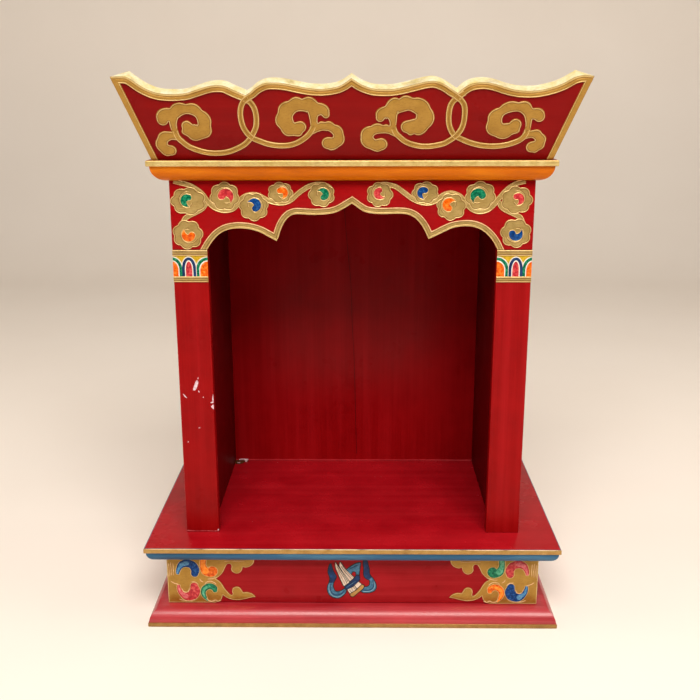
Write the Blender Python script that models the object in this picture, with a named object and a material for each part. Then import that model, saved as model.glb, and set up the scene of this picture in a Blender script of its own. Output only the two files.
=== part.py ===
"""A painted table altar: moulded plinth and shelf, arched open niche, moulded roof and flaring cornice.

Lengths are metres. The ornaments are drawn in millimetres on their board's face and are fitted to the
board's real size, so they follow when a board changes.
"""

import math

import bmesh
import bpy
import numpy as np
from mathutils import Vector
from mathutils.geometry import delaunay_2d_cdt

# Driving sizes
SHELF_WIDTH = 0.360
SHELF_DEPTH = 0.216
PLINTH_THICKNESS = 0.0153
BASE_HEIGHT = 0.0457
SHELF_THICKNESS = 0.0151
NICHE_HEIGHT = 0.3109
ROOF_THICKNESS = 0.0168
CORNICE_SLANT = 0.0669
CORNICE_LEAN = math.radians(20.0)

# Set-backs and overhangs
BASE_INSET = 0.016
BACK_INSET = 0.0054
POST_FRONT_SETBACK = 0.0333
POST_SIDE_SETBACK = 0.032
ROOF_OVERHANG = 0.0149
CORNICE_SETBACK = 0.0041
WALL_RECESS = 0.006

# Board sizes
POST_WIDTH = 0.0288
HEADER_HEIGHT = 0.0567
BASE_BOARD = 0.012
FRAME_BOARD = 0.010
WALL_BOARD = 0.015
BACK_BOARD = 0.009
CORNICE_BOARD = 0.0114
# How far beside a mitre the outline on the back is drawn in to meet it
MITRE_RUN = 0.003

# Edge mouldings: height of the straight gilt fillet and the step behind it
PLINTH_FILLET = (0.0042, 0.0008)
SHELF_FILLET = (0.0046, 0.0016)
ROOF_FILLET = (0.0047, 0.0024)
MOULDING_FACETS = 7

# Relief of the gilt work, and of the painted drops and jewels lying in it
GILT_RELIEF = 0.0010
JEWEL_RELIEF = 0.0004
BORDER_WIDTH = 0.0050
PETAL_BAND_DROP = 0.0268
GILT_BAR = 0.0048
GAP = 0.0003

MM = 0.001
# Spacing of the points along drawn lines, in drawn millimetres, and what is near enough to be one point
LINE_STEP = 2.4
WELD = 0.02
# How far a drawn line may be cut short when a point is dropped, in millimetres
FLATNESS = 0.12
# Half the gap left between raised shapes that would meet in a point, in drawn millimetres
TOUCH_GAP = 0.06

# Heights and half widths that follow from the sizes above
PLINTH_TOP = PLINTH_THICKNESS
SHELF_BOTTOM = PLINTH_TOP + BASE_HEIGHT
SHELF_TOP = SHELF_BOTTOM + SHELF_THICKNESS
ROOF_BOTTOM = SHELF_TOP + NICHE_HEIGHT
ROOF_TOP = ROOF_BOTTOM + ROOF_THICKNESS
HEADER_BOTTOM = ROOF_BOTTOM - HEADER_HEIGHT
SHELF_HALF = SHELF_WIDTH / 2
BASE_HALF = SHELF_HALF - BASE_INSET
POST_OUTER = SHELF_HALF - POST_SIDE_SETBACK
POST_INNER = POST_OUTER - POST_WIDTH
WALL_INNER = POST_INNER + WALL_RECESS
BACK_FACE = SHELF_DEPTH - BACK_INSET
PANEL_FACE = BACK_FACE - BACK_BOARD
ROOF_HALF = POST_OUTER + ROOF_OVERHANG
ROOF_FRONT = POST_FRONT_SETBACK - ROOF_OVERHANG
CORNICE_HALF = ROOF_HALF - CORNICE_SETBACK
CORNICE_FRONT = ROOF_FRONT + CORNICE_SETBACK
CORNICE_BOTTOM = ROOF_TOP + GAP

# Face sizes on which the ornaments are drawn, in millimetres
CORNICE_DRAWN = (158.9, 66.9)
HEADER_DRAWN = (148.0, 56.7)
ARCH_DRAWN = 119.2
BASE_DRAWN = (164.0, 45.7)
SIDE_DRAWN = 188.1

# Everything drawn is keyed by its side, -1 left and 1 right, because the two halves differ slightly.
# Top edge of the cornice from the corner to the middle, as (distance from the middle, height up the
# face), one stretch on each side of the sharp notch
TOP_EDGE = {
    -1: (
        ((181.8, 66.9), (175, 67.2), (168.5, 66.2), (160, 60), (155, 57.1), (149.5, 54.8), (143, 53.6),
         (134, 53.4), (126, 54.2), (118, 56.6), (109, 59.4), (102, 60.3), (96, 59.6), (90, 56.8),
         (80.5, 52.4)),
        ((80.5, 52.4), (76.7, 54.8), (71.7, 58.9), (65, 61.8), (57, 62.2), (49.7, 61.4), (42.6, 59.9),
         (33, 58), (26, 57.3), (20, 57.4), (14, 58.3), (9, 59.7), (4.7, 62.1), (0, 65.6)),
    ),
    1: (
        ((181.8, 66.9), (175, 67.6), (168, 66.2), (161, 62.2), (156, 59.8), (149.3, 57.6), (141, 55.9),
         (132.7, 55.5), (124.3, 56.3), (116, 58.4), (108, 61), (101, 62.2), (95, 62), (89.3, 60.6),
         (84.3, 57.6), (80.5, 53.9)),
        ((80.5, 53.9), (76, 56.8), (71.7, 59.7), (67.4, 61.9), (62, 63.3), (56, 62.8), (46, 60.3),
         (38.9, 58.5), (31.7, 57.2), (24.6, 56.9), (17.4, 57.3), (12.4, 58.6), (6.7, 61.1), (0, 65.6)),
    ),
}

# Interlaced ribbons of the cornice, from the notch through the almond to the inner and the outer scroll
RIBBON_HALF = 2.2
# Gilt fill round each notch, where border and ribbons cross
KNOT_RADIUS = 3.4
RIBBONS = {
    -1: (
        ((75, 54.4), (80.5, 50.6), (83.6, 46), (85.2, 40), (85.2, 34), (84.2, 28.5), (82.4, 24.4),
         (79.6, 20.6), (76.2, 17.9), (71.7, 15.8), (65, 13.3), (57, 12), (49.7, 12.3), (44, 13.8),
         (38.6, 16.8), (34.4, 20.2), (31, 24.6), (29, 30)),
        ((86, 54.4), (80.5, 50.6), (76.4, 46.6), (74, 41), (73.3, 35), (73.8, 28.7), (75.3, 24.4),
         (77.6, 20.4), (80.4, 16.4), (85, 12.3), (93.3, 8.2), (99, 6.5), (105, 5.8), (111.5, 6),
         (118.3, 7.4), (126.7, 10.8), (131.7, 14.8), (135.4, 19), (137.4, 25.6)),
    ),
    1: (
        ((75, 55.4), (80.5, 51.4), (84.2, 48), (86.1, 43.5), (86.6, 38), (86.2, 31), (84.7, 25.7),
         (82.4, 22), (79.6, 18.8), (76, 16.1), (71.7, 13.6), (64, 11.8), (58.9, 11.3), (53, 11.6),
         (46, 13.4), (41, 15.9), (37.4, 18.9), (33.9, 22.8), (31.9, 28.4)),
        ((86, 55.4), (80.5, 51.4), (77.2, 48.4), (75.4, 44.4), (74.5, 38.5), (74.8, 31), (76.5, 25.4),
         (79.6, 20.6), (85.2, 17.4), (91, 14.8), (99.3, 12.4), (107.7, 11.4), (116, 11.7), (124.3, 13.6),
         (131, 16.7), (134.5, 20.7), (136, 26)),
    ),
}

# Cloud scrolls: the curling head and the curl below as rows (distance from the middle, height, half
# width), with one lobe from each row to the next after the plain ones, and the round lobe by the neck
SCROLLS = {
    (-1, "outer"): (
        ((137.4, 24, 2.4), (137.9, 30.5, 2.9), (136.1, 38.4, 4.7), (126.6, 41.9, 3.8), (117.2, 38.2, 3.9),
         (114, 28.7, 5.1), (117.8, 23.5, 5.8), (125, 25, 5.5), (127.5, 28.3, 4.2)),
        ((135.4, 20.4, 2.2), (141.2, 21.7, 3.5), (147.8, 17.4, 4.2), (147.4, 9.9, 4.2), (141.8, 8, 4.2)),
        (145.2, 36.2, 5.6, 7.2),
    ),
    (-1, "inner"): (
        ((29, 28, 2.8), (29.3, 34.6, 3.2), (30.4, 43, 5.9), (37.8, 44.9, 4.7), (45.4, 43.6, 5.2),
         (50.9, 37.1, 5.9), (49.9, 29.1, 6), (44.7, 25.8, 5.3), (39.6, 27.4, 4.6)),
        ((30, 24.6, 2.4), (25, 28, 2.9), (20.6, 28.7, 3.3), (14.7, 27.2, 3.1), (9.7, 20.8, 3.8),
         (12.8, 14.6, 4.6), (18.6, 14.1, 5.1)),
        (21.3, 41.6, 4.9, 6.2),
    ),
    (1, "outer"): (
        ((136, 24.6, 2.2), (136, 31.5, 2.4), (134.5, 39.7, 4.2), (126.8, 43.2, 3.5), (114.6, 39.7, 3.6),
         (110.2, 31.5, 5.6), (113.5, 24.8, 5.9), (122.8, 25.9, 4.8), (126.2, 29, 4.7)),
        ((133.9, 19.8, 2.2), (139.8, 22.1, 3.1), (145.3, 19.9, 3.4), (146.8, 15.1, 4.2), (144.1, 12.1, 4.4),
         (140.6, 10.7, 4.7)),
        (142.3, 37.9, 5.3, 5.8),
    ),
    (1, "inner"): (
        ((31.9, 26.8, 2.5), (31.9, 32.4, 2.9), (31.5, 41.3, 6.2), (37.6, 44.4, 5.3), (45.5, 45.4, 5.1),
         (55.1, 39.6, 6), (54.1, 29.9, 6.3), (47.4, 27.7, 5.8), (42.8, 27.4, 5)),
        ((33.6, 22.6, 2.3), (28.8, 25.4, 2.8), (24.2, 26.4, 3.2), (16.2, 25.9, 3.7), (11.3, 19.4, 4.8),
         (16.8, 13, 4.2), (23, 13.1, 5.2)),
        (23.3, 38.2, 4.8, 6),
    ),
}
HEAD_LOBE_DEPTH = 1.7
CURL_LOBE_DEPTH = 1.3
PLAIN_ROWS = 2

# Header: arch from the post to the cusp and on to the middle, as (distance, height above the springing)
ARCH = {
    -1: (
        ((119.2, 0), (114.3, 5.2), (110, 10), (105, 14.1), (100, 16.6), (94, 17.8), (88, 17.6),
         (82, 16.7), (75, 14.4), (68, 10.6), (61.8, 7.3)),
        ((61.8, 7.3), (60, 10.9), (58.4, 16), (56.2, 21), (53.4, 25.2), (50, 28.2), (45.5, 29.5), (39, 29.3),
         (32, 28.9), (25, 29.1), (18, 29.8), (12.6, 31.2), (7.6, 33.6), (0, 38.2)),
    ),
    1: (
        ((119.2, 0), (116.6, 5), (113.6, 9.4), (110, 13.2), (105.7, 16.4), (100, 18.8), (94, 19.6),
         (88, 19.2), (82, 18), (76, 15.4), (69, 11.8), (62.6, 8.9)),
        ((62.6, 8.9), (60.7, 13), (58.6, 17.3), (55.7, 21.7), (52, 25.7), (48, 28.2), (43.6, 29.5),
         (37, 29.9), (27, 29.6), (20, 29.7), (13.4, 30.5), (8.6, 32.2), (0, 38.2)),
    ),
}
# Flowers: distance from the middle, height, half width, half height and turn of the lobes; then the
# jewel's distance, height, radius and the direction of its bite as seen, in degrees
FLOWERS = {
    -1: (
        ((132.9, 40.2, 13.9, 10.9, 0), (133.7, 40.5, 5.0, -36)),
        ((134.5, 12.7, 12.0, 11.7, 20), (134, 12.6, 5.3, 92)),
        ((103.2, 44.1, 11.6, 11.3, 40), (102.2, 43.9, 6.1, -88)),
        ((79.8, 35.6, 11.6, 11.2, 10), (79.6, 37, 5.3, 190)),
        ((57.9, 47, 9.9, 8.5, 30), (56.6, 46.8, 4.5, -125)),
        ((24.6, 45.5, 10.4, 9.8, 50), (23.8, 45.8, 4.8, 160)),
    ),
    1: (
        ((133.2, 41, 12.4, 11.0, 0), (134.1, 41.6, 4.6, -135)),
        ((133.7, 13.9, 12.1, 11.6, 20), (133.8, 13.4, 5.5, 75)),
        ((103.7, 44.4, 12.1, 11.4, 40), (101.9, 44, 6.1, -88)),
        ((80.5, 35.6, 11.6, 10.8, 10), (79.2, 37.2, 5.3, -5)),
        ((59.3, 46.9, 10.5, 8.8, 30), (57.7, 46.7, 4.8, -45)),
        ((22.5, 45.5, 10.3, 9.8, 50), (22.7, 46.4, 4.8, 0)),
    ),
}
FLOWER_LOBES = 7
FLOWER_DEPTH = 0.07
# The bite in a jewel: its radius and its distance from the middle, as shares of the jewel's radius
BITE_SIZE = 0.62
BITE_PLACE = 0.8
# Vine from the top corner to the middle flower, and its branch to the lowest flower
VINE_HALF = 2.1
VINES = {
    -1: (((144, 56.6), (139, 55.2), (132, 53.3), (126.4, 50.3), (121.4, 46.2), (118.4, 42), (115.8, 38.4),
          (111.6, 34.8), (104.8, 32.6), (97.9, 33.4), (93.8, 36.6), (91, 40.6), (87, 44), (80.7, 45.6),
          (75, 44.4), (68, 40.8), (60, 38.7), (53.6, 39.2), (48.6, 41.8), (42.8, 47), (35.7, 51.7),
          (30.2, 53.6), (24.6, 53.8), (19.6, 52.2), (16.2, 48.6)),
         ((118.4, 38.4), (121.6, 34.2), (127, 31), (132.4, 28.4), (136.4, 25.6), (138.4, 20.6))),
    1: (((139.6, 56.2), (133, 54.6), (127.6, 51.6), (122.8, 47.2), (118.6, 42), (113.8, 36), (109.3, 32.7),
         (103.6, 31.6), (98.6, 32.8), (94, 36.4), (90.4, 40.6), (86.8, 44.4), (80, 46.7), (73.4, 44.8),
         (68.4, 40.8), (62.6, 38.6), (55.7, 39.2), (49.4, 41.8), (43, 46.4), (36.4, 51.2), (30.2, 53.4),
         (24.4, 53.8), (19.2, 52.2), (16, 48.4)),
        ((118.8, 39.2), (122, 34.6), (126.8, 31.8), (132.4, 29.2), (136.8, 26.6), (139.2, 21))),
}

# Base corner scrolls: (distance from the end, height above the plinth, half width or radius)
PANEL_BLOCK = 41.0
PANEL_DISCS = ((35.5, 43, 19.4), (61.8, 34.2, 5), (71, 43.5, 7.8), (32.5, 5.2, 20.6), (61.2, 11.4, 4.3))
PANEL_BANDS = (
    ((36, 44, 4.6), (50, 43.6, 4.6), (62, 43.4, 4.8), (72, 43.6, 4), (80, 45, 1)),
    ((61.8, 33, 4.8), (61.8, 44, 4.8)),
    ((48, 8.6, 3.6), (55, 5.4, 2.5), (61, 5.6, 3.2), (67, 6.8, 3.5), (71.5, 7.5, 2.9), (75, 7.3, 1.8),
     (77.6, 6, 0.4)),
)
DROPS = {
    "arch": ((9.5, 28.5, 1.2), (9.6, 31, 1.7), (11, 35, 2.4), (13.4, 38, 3.3), (17.6, 39.4, 3.8),
             (22.6, 37.6, 3.8), (25, 33, 3.8), (24.4, 29, 3.2)),
    "hook": ((32.4, 43, 2.6), (32.2, 37, 2.7), (34.2, 31.8, 4), (38.6, 30.8, 5), (40, 31.6, 4.8)),
    "cup": ((9.6, 17.8, 1.1), (9.8, 14.2, 1.7), (11.4, 10.2, 2.4), (15.6, 6.6, 3.8), (20.6, 6.8, 4.9),
            (23.8, 11.6, 4.7), (23.4, 16.6, 3.4)),
    "ring": ((35, 2, 0.5), (32.6, 5.6, 1.6), (31.3, 9.6, 2.2), (32.6, 14, 2.7), (37, 16.6, 2.9),
             (41, 14.8, 2.9), (41.8, 12.4, 2.1)),
}

# Side cornice boards: top edge from the front corner backwards, and the height at the back end
SIDE_TOP_EDGE = ((-22.9, 66.9), (-16, 67.2), (-9, 66.2), (4, 60), (20, 54.2), (36, 52.2), (54, 53.4),
                 (72, 54.2), (90, 52), (120, 45), (150, 37), (175, 33), (188.1, 32))

# Finishes: sRGB colour, roughness, metallic
RED_LACQUER = ("red_lacquer", (0.55, 0.03, 0.04), 0.25, 0.0)
GILT_PAINT = ("gilt_paint", (0.72, 0.53, 0.24), 0.38, 0.55)
PLAIN_WOOD = ("oiled_wood", (0.36, 0.16, 0.09), 0.6, 0.0)


def linear(channel):
    """sRGB channel to linear light."""
    return channel / 12.92 if channel <= 0.04045 else ((channel + 0.055) / 1.055) ** 2.4


def finish(name, colour, roughness, metallic):
    """A Principled material of one colour."""
    material = bpy.data.materials.new(name)
    material.use_nodes = True
    shader = material.node_tree.nodes["Principled BSDF"]
    shader.inputs["Base Color"].default_value = (*(linear(c) for c in colour), 1.0)
    shader.inputs["Roughness"].default_value = roughness
    shader.inputs["Metallic"].default_value = metallic
    return material


def add_piece(name, shape, material, place, turn=(0.0, 0.0, 0.0)):
    """An object made of the bmesh, placed and turned under the altar's frame."""
    bmesh.ops.recalc_face_normals(shape, faces=shape.faces[:])
    if shape.calc_volume(signed=True) < 0:
        bmesh.ops.reverse_faces(shape, faces=shape.faces[:])
    mesh = bpy.data.meshes.new(name)
    shape.to_mesh(mesh)
    shape.free()
    mesh.materials.append(material)
    piece = bpy.data.objects.new(name, mesh)
    bpy.context.scene.collection.objects.link(piece)
    piece.location = place
    piece.rotation_euler = turn
    return piece


def smooth(points, step=LINE_STEP):
    """Points along a smooth curve through the given ones; further columns, such as widths, follow."""
    knots = np.array(points, dtype=float)
    chords = np.linalg.norm(np.diff(knots[:, :2], axis=0), axis=1)
    times = np.concatenate(([0.0], np.cumsum(np.sqrt(chords))))
    slopes = np.empty_like(knots)
    slopes[1:-1] = (knots[2:] - knots[:-2]) / (times[2:] - times[:-2])[:, None]
    slopes[0] = (knots[1] - knots[0]) / (times[1] - times[0])
    slopes[-1] = (knots[-1] - knots[-2]) / (times[-1] - times[-2])
    line = [knots[0]]
    for i, chord in enumerate(chords):
        span = times[i + 1] - times[i]
        pieces = max(1, math.ceil(chord / step))
        for s in np.arange(1, pieces + 1) / pieces:
            line.append(
                (2 * s**3 - 3 * s**2 + 1) * knots[i]
                + (s**3 - 2 * s**2 + s) * span * slopes[i]
                + (3 * s**2 - 2 * s**3) * knots[i + 1]
                + (s**3 - s**2) * span * slopes[i + 1]
            )
    return np.array(line)


def across(line):
    """Unit vectors pointing left of a line at each of its points."""
    run = np.gradient(line[:, :2], axis=0)
    run /= np.linalg.norm(run, axis=1)[:, None]
    return np.column_stack((-run[:, 1], run[:, 0]))


def band(path, lobe_depth=0.0, plain_rows=0, round_end=False):
    """Outline of a band along a path of (x, y, half width), lobed on the outer side of its curl."""
    line = smooth(np.column_stack((path, np.arange(len(path)))))
    middle, half, row = line[:, :2], line[:, 2], line[:, 3]
    left = across(line)
    turning = np.cross(left[:-1], left[1:]).sum()
    bulge = np.where(row > plain_rows, lobe_depth * np.abs(np.sin(math.pi * row)), 0.0)
    left_half = half + (bulge if turning < 0 else 0.0)
    right_half = half + (bulge if turning > 0 else 0.0)
    left_side = middle + left * left_half[:, None]
    right_side = middle - left * right_half[:, None]
    cap = []
    if round_end:
        start = math.atan2(-left[-1, 1], -left[-1, 0])
        steps = 6
        for k in range(1, steps):
            angle = start + math.pi * k / steps
            cap.append(middle[-1] + half[-1] * np.array((math.cos(angle), math.sin(angle))))
    return np.array([*right_side, *cap, *left_side[::-1]])


def ribbon(path, half):
    """Outline of a band of even width."""
    return band([(x, y, half) for x, y in path])


def oval(x, y, half_width, half_height, lobes=0, depth=0.0, turn=0.0, count=14):
    """Outline of an oval, or of a flower with round lobes."""
    angles = np.arange(count) * 2 * math.pi / count
    reach = 1 - depth + 2 * depth * np.abs(np.cos((angles - math.radians(turn)) * lobes / 2))
    across_middle, up_middle = half_width * reach * np.cos(angles), half_height * reach * np.sin(angles)
    return np.column_stack((x + across_middle, y + up_middle))


def jewel(x, y, radius, turn):
    """Outline of a round drop with a round bite taken out in the turned direction."""
    bite, distance = BITE_SIZE * radius, BITE_PLACE * radius
    half_angle = math.acos((radius**2 + distance**2 - bite**2) / (2 * radius * distance))
    bite_angle = math.atan2(radius * math.sin(half_angle), radius * math.cos(half_angle) - distance)
    turn = math.radians(turn)
    centre = (x + distance * math.cos(turn), y + distance * math.sin(turn))
    round_side = np.linspace(turn + half_angle, turn + 2 * math.pi - half_angle, 10)
    bitten = np.linspace(turn + 2 * math.pi - bite_angle, turn + bite_angle, 7)[1:-1]
    points = [(x + radius * math.cos(a), y + radius * math.sin(a)) for a in round_side]
    points += [(centre[0] + bite * math.cos(a), centre[1] + bite * math.sin(a)) for a in bitten]
    return np.array(points)


def counter_clockwise(outline):
    """The outline with its inside on the left."""
    x, y = outline[:, 0], outline[:, 1]
    area = np.sum(x * np.roll(y, -1) - np.roll(x, -1) * y)
    return outline if area > 0 else outline[::-1]


def inside(points, outline):
    """Which points an outline runs round counter-clockwise."""
    turns = np.zeros(len(points), dtype=int)
    for (ax, ay), (bx, by) in zip(outline, np.roll(outline, -1, axis=0)):
        side = (bx - ax) * (points[:, 1] - ay) - (by - ay) * (points[:, 0] - ax)
        turns += (ay <= points[:, 1]) & (points[:, 1] < by) & (side > 0)
        turns -= (by <= points[:, 1]) & (points[:, 1] < ay) & (side < 0)
    return turns > 0


def thin_out(points, lines):
    """The lines with the points dropped that lie almost straight between their two neighbours."""
    links = {}
    for a, b in lines:
        links.setdefault(a, set()).add(b)
        links.setdefault(b, set()).add(a)
    for _ in range(3):
        kept = set()
        for i in sorted(links):
            if i in kept or len(links[i]) != 2:
                continue
            a, b = sorted(links[i])
            chord = points[b] - points[a]
            if b in links[a] or abs(chord.cross(points[i] - points[a])) > FLATNESS * chord.length:
                continue
            links[a].symmetric_difference_update((i, b))
            links[b].symmetric_difference_update((i, a))
            del links[i]
            kept.update((a, b))
    return [(a, b) for a in links for b in links[a] if a < b]


def part_touching(points, lines, level_at):
    """Set raised shapes slightly apart where two of them meet in one point."""
    meeting = {}
    for number, (a, b) in enumerate(lines):
        meeting.setdefault(a, []).append((number, b))
        meeting.setdefault(b, []).append((number, a))
    points, lines = list(points), [list(line) for line in lines]
    for i, own in meeting.items():
        if len(own) != 4:
            continue
        spokes = sorted((math.atan2(*(points[other] - points[i]).yx), number) for number, other in own)
        angles = [angle for angle, _ in spokes]
        following = (*angles[1:], angles[0] + 2 * math.pi)
        middles = [(angle + after) / 2 for angle, after in zip(angles, following)]
        probes = [points[i] + TOUCH_GAP * Vector((math.cos(angle), math.sin(angle))) for angle in middles]
        is_raised = [level > 0 for level in level_at(np.array(probes))]
        if is_raised[0] == is_raised[1] or is_raised[:2] != is_raised[2:]:
            continue
        for k in (k for k in range(4) if is_raised[k]):
            points.append(probes[k])
            for _, number in (spokes[k], spokes[(k + 1) % 4]):
                lines[number][lines[number].index(i)] = len(points) - 1
    return points, lines


def levelled(board, raised, sunk):
    """Triangles of a board's face with a level each: 0 the ground, 1 the gilt work, 2 a drop within it.

    The first pass cuts all outlines with each other, and the second keeps only the lines between levels.
    """
    def level_at(places):
        level = np.where(inside(places, board), 0, -1)
        gilt = np.any([inside(places, outline) for outline in raised], axis=0)
        level[(level == 0) & gilt] = 1
        if sunk:
            drops = np.any([inside(places, outline) for outline in sunk], axis=0)
            level[(level == 1) & drops] = 2
        return level

    def triangles_between(corners, lines, weld):
        points, _, triangles = delaunay_2d_cdt(corners, lines, [], 0, weld)[:3]
        centres = np.array([np.mean([points[i] for i in triangle], axis=0) for triangle in triangles])
        return points, triangles, level_at(centres)

    corners, lines = [], []
    for outline in (board, *raised, *sunk):
        first, count = len(corners), len(outline)
        corners += [Vector(point) for point in outline]
        lines += [(first + i, first + (i + 1) % count) for i in range(count)]
    points, triangles, levels = triangles_between(corners, lines, WELD)
    sides = {}
    for triangle, level in zip(triangles, levels):
        for a, b in zip(triangle, (*triangle[1:], triangle[0])):
            sides.setdefault(frozenset((a, b)), []).append(level)
    steps = [edge for edge, two in sides.items() if len({*two, *([-1] * (2 - len(two)))}) > 1]
    lines = thin_out(points, [tuple(edge) for edge in steps])
    points, lines = part_touching(points, lines, level_at)
    used = sorted({i for line in lines for i in line})
    number = {old: new for new, old in enumerate(used)}
    lines = [(number[a], number[b]) for a, b in lines]
    return triangles_between([Vector(points[i]) for i in used], lines, WELD / 10)


def relief_board(board, raised, sunk, back_point):
    """A board whose face at z = 0 carries relief; back_point moves a point of its rim to the back."""
    board = counter_clockwise(np.array(board, dtype=float))
    raised = [counter_clockwise(outline) for outline in raised]
    sunk = [counter_clockwise(outline) for outline in sunk]
    points, triangles, levels = levelled(board, raised, sunk)
    shape = bmesh.new()
    level_of = shape.faces.layers.int.new("level")
    corners = [shape.verts.new((p[0] * MM, p[1] * MM, 0.0)) for p in points]
    for triangle, level in zip(triangles, levels):
        if level >= 0:
            shape.faces.new([corners[i] for i in triangle])[level_of] = int(level)
    rising = [face for face in shape.faces if face[level_of] > 0]
    loose = [vert for vert in shape.verts if not vert.link_faces]
    bmesh.ops.delete(shape, geom=loose, context="VERTS")
    rim = [edge for edge in shape.edges if edge.is_boundary]
    wall = bmesh.ops.extrude_edge_only(shape, edges=rim)["geom"]
    for vert in (item for item in wall if isinstance(item, bmesh.types.BMVert)):
        vert.co = back_point(vert.co.x, vert.co.y)
    back_rim = [item for item in wall if isinstance(item, bmesh.types.BMEdge) and item.is_boundary]
    bmesh.ops.edgeloop_fill(shape, edges=back_rim)
    for lift, sink_level in ((JEWEL_RELIEF, 2), (GILT_RELIEF - JEWEL_RELIEF, None)):
        if not rising:
            break
        moved = bmesh.ops.extrude_face_region(shape, geom=rising)["geom"]
        bmesh.ops.delete(shape, geom=rising, context="FACES")
        raised_verts = [item for item in moved if isinstance(item, bmesh.types.BMVert)]
        bmesh.ops.translate(shape, verts=raised_verts, vec=(0.0, 0.0, lift))
        tops = [item for item in moved if isinstance(item, bmesh.types.BMFace)]
        rising = [face for face in tops if face[level_of] != sink_level]
    return shape


def rectangle(left, bottom, right, top):
    """Outline of a rectangle."""
    return np.array(((left, bottom), (right, bottom), (right, top), (left, top)), dtype=float)


def straight_back(thickness):
    """The back of a board with square edges."""
    return lambda x, y: (x, y, -thickness)


def fitted(outline, across_share, up_share, side=1):
    """A drawn outline mirrored to its side and fitted to the board's real size."""
    return np.array(outline, dtype=float) * (side * across_share, up_share)


def plain_board(left, front, bottom, right, back, top):
    """A square-edged board between two corners."""
    shape = bmesh.new()
    bmesh.ops.create_cube(shape, size=1.0)
    low, high = Vector((left, front, bottom)), Vector((right, back, top))
    bmesh.ops.scale(shape, verts=shape.verts[:], vec=high - low)
    bmesh.ops.translate(shape, verts=shape.verts[:], vec=(low + high) / 2)
    return shape


def moulded_board(half_width, front, back, thickness, fillet, upside_down):
    """A board with a straight fillet and a quarter-round on its front and both sides, flat behind."""
    fillet_height, step = fillet
    radius = thickness - fillet_height
    profile = [(0.0, 0.0), (0.0, fillet_height)]
    for k in range(MOULDING_FACETS + 1):
        angle = 0.5 * math.pi * k / MOULDING_FACETS
        profile.append((step + radius * (1 - math.cos(angle)), fillet_height + radius * math.sin(angle)))
    if upside_down:
        profile = [(inset, thickness - height) for inset, height in profile]
    shape = bmesh.new()
    outline = ((-half_width, front), (half_width, front), (half_width, back), (-half_width, back))
    end = shape.faces.new([shape.verts.new((x, y, profile[0][1])) for x, y in outline])
    rim = end.edges[:]
    for inset, height in profile[1:]:
        end = bmesh.ops.extrude_discrete_faces(shape, faces=[end])["faces"][0]
        for vert in end.verts:
            reach = math.copysign(half_width - inset, vert.co.x)
            vert.co = (reach, front + inset if vert.co.y < (front + back) / 2 else back, height)
    bmesh.ops.edgeloop_fill(shape, edges=rim)
    return shape


def scroll_outlines(side):
    """The gilt outlines of one side's scrolls and ribbons on the cornice, in drawn millimetres."""
    outlines = [ribbon(path, RIBBON_HALF) for path in RIBBONS[side]]
    for place in ("outer", "inner"):
        head, curl, lobe = SCROLLS[side, place]
        outlines.append(band(head, HEAD_LOBE_DEPTH, PLAIN_ROWS, True))
        outlines.append(band(curl, CURL_LOBE_DEPTH, PLAIN_ROWS, True))
        outlines.append(oval(*lobe))
    return outlines


def edge_border(line, width):
    """Outline of a border of even width along the right of a line."""
    inner = line[:, :2] - across(line) * width
    return np.array([*line[:, :2], *inner[::-1]])


def mitred_back(half_width):
    """The back of the front cornice board: flat below, square above, mitred at both ends."""
    rise, lean = math.sin(CORNICE_LEAN), math.cos(CORNICE_LEAN)

    def back_point(x, y):
        back_y = y if y > GAP else -CORNICE_BOARD * math.tan(CORNICE_LEAN)
        front_end = half_width + y * rise
        back_end = half_width + back_y * rise - CORNICE_BOARD * lean
        straight = back_end - MITRE_RUN
        reach = abs(x)
        if reach > straight:
            reach = straight + (reach - straight) * (back_end - straight) / (front_end - straight)
        return (math.copysign(reach, x), back_y, -CORNICE_BOARD)

    return back_point


def cornice_edge(stretches, side, half_foot, shares):
    """One half of the cornice's top edge in two stretches, its corner brought onto the slanted end."""
    outer, inner = (smooth(stretch) * shares for stretch in stretches)
    reach = half_foot + outer[0, 1] * math.sin(CORNICE_LEAN)
    outer[:, 0] += (reach - outer[0, 0]) * np.linspace(1.0, 0.0, len(outer))
    return outer * (side, 1.0), inner * (side, 1.0)


def make_cornice_front(material):
    """The leaning front board with its gilt border, interlaced ribbons and four cloud scrolls."""
    half = CORNICE_HALF - GAP
    across_share = CORNICE_HALF / MM / CORNICE_DRAWN[0]
    up_share = CORNICE_SLANT / MM / CORNICE_DRAWN[1]
    rise = math.sin(CORNICE_LEAN)
    border = BORDER_WIDTH / MM
    shares = (across_share, up_share)
    left, right = (cornice_edge(TOP_EDGE[side], side, half / MM, shares) for side in (-1, 1))
    foot = half / MM
    top = [*left[0], *left[1][1:], *right[1][::-1][1:], *right[0][::-1][1:]]
    board = np.array([*top, (foot, 0.0), (-foot, 0.0)])
    raised = [edge_border(run, border) for run in (left[0], left[1])]
    raised += [edge_border(run[::-1], border) for run in (right[0], right[1])]
    strip_width = border * math.hypot(1.0, rise)
    strip_foot = GILT_RELIEF * math.tan(CORNICE_LEAN) / MM
    for side, (corner, *_) in ((-1, left[0]), (1, right[0])):
        outer_foot = foot + strip_foot * rise
        strip = ((outer_foot, strip_foot), (abs(corner[0]), corner[1]),
                 (abs(corner[0]) - strip_width, corner[1]), (outer_foot - strip_width, strip_foot))
        raised.append(fitted(strip, 1, 1, side))
    raised += [oval(*run[0], KNOT_RADIUS, KNOT_RADIUS) for run in (left[1], right[1])]
    for side in (-1, 1):
        raised += [fitted(outline, across_share, up_share, side) for outline in scroll_outlines(side)]
    shape = relief_board(board, raised, [], mitred_back(half))
    add_piece("cornice_front", shape, material, (0.0, CORNICE_FRONT, CORNICE_BOTTOM),
              (math.pi / 2 + CORNICE_LEAN, 0.0, 0.0))


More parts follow.
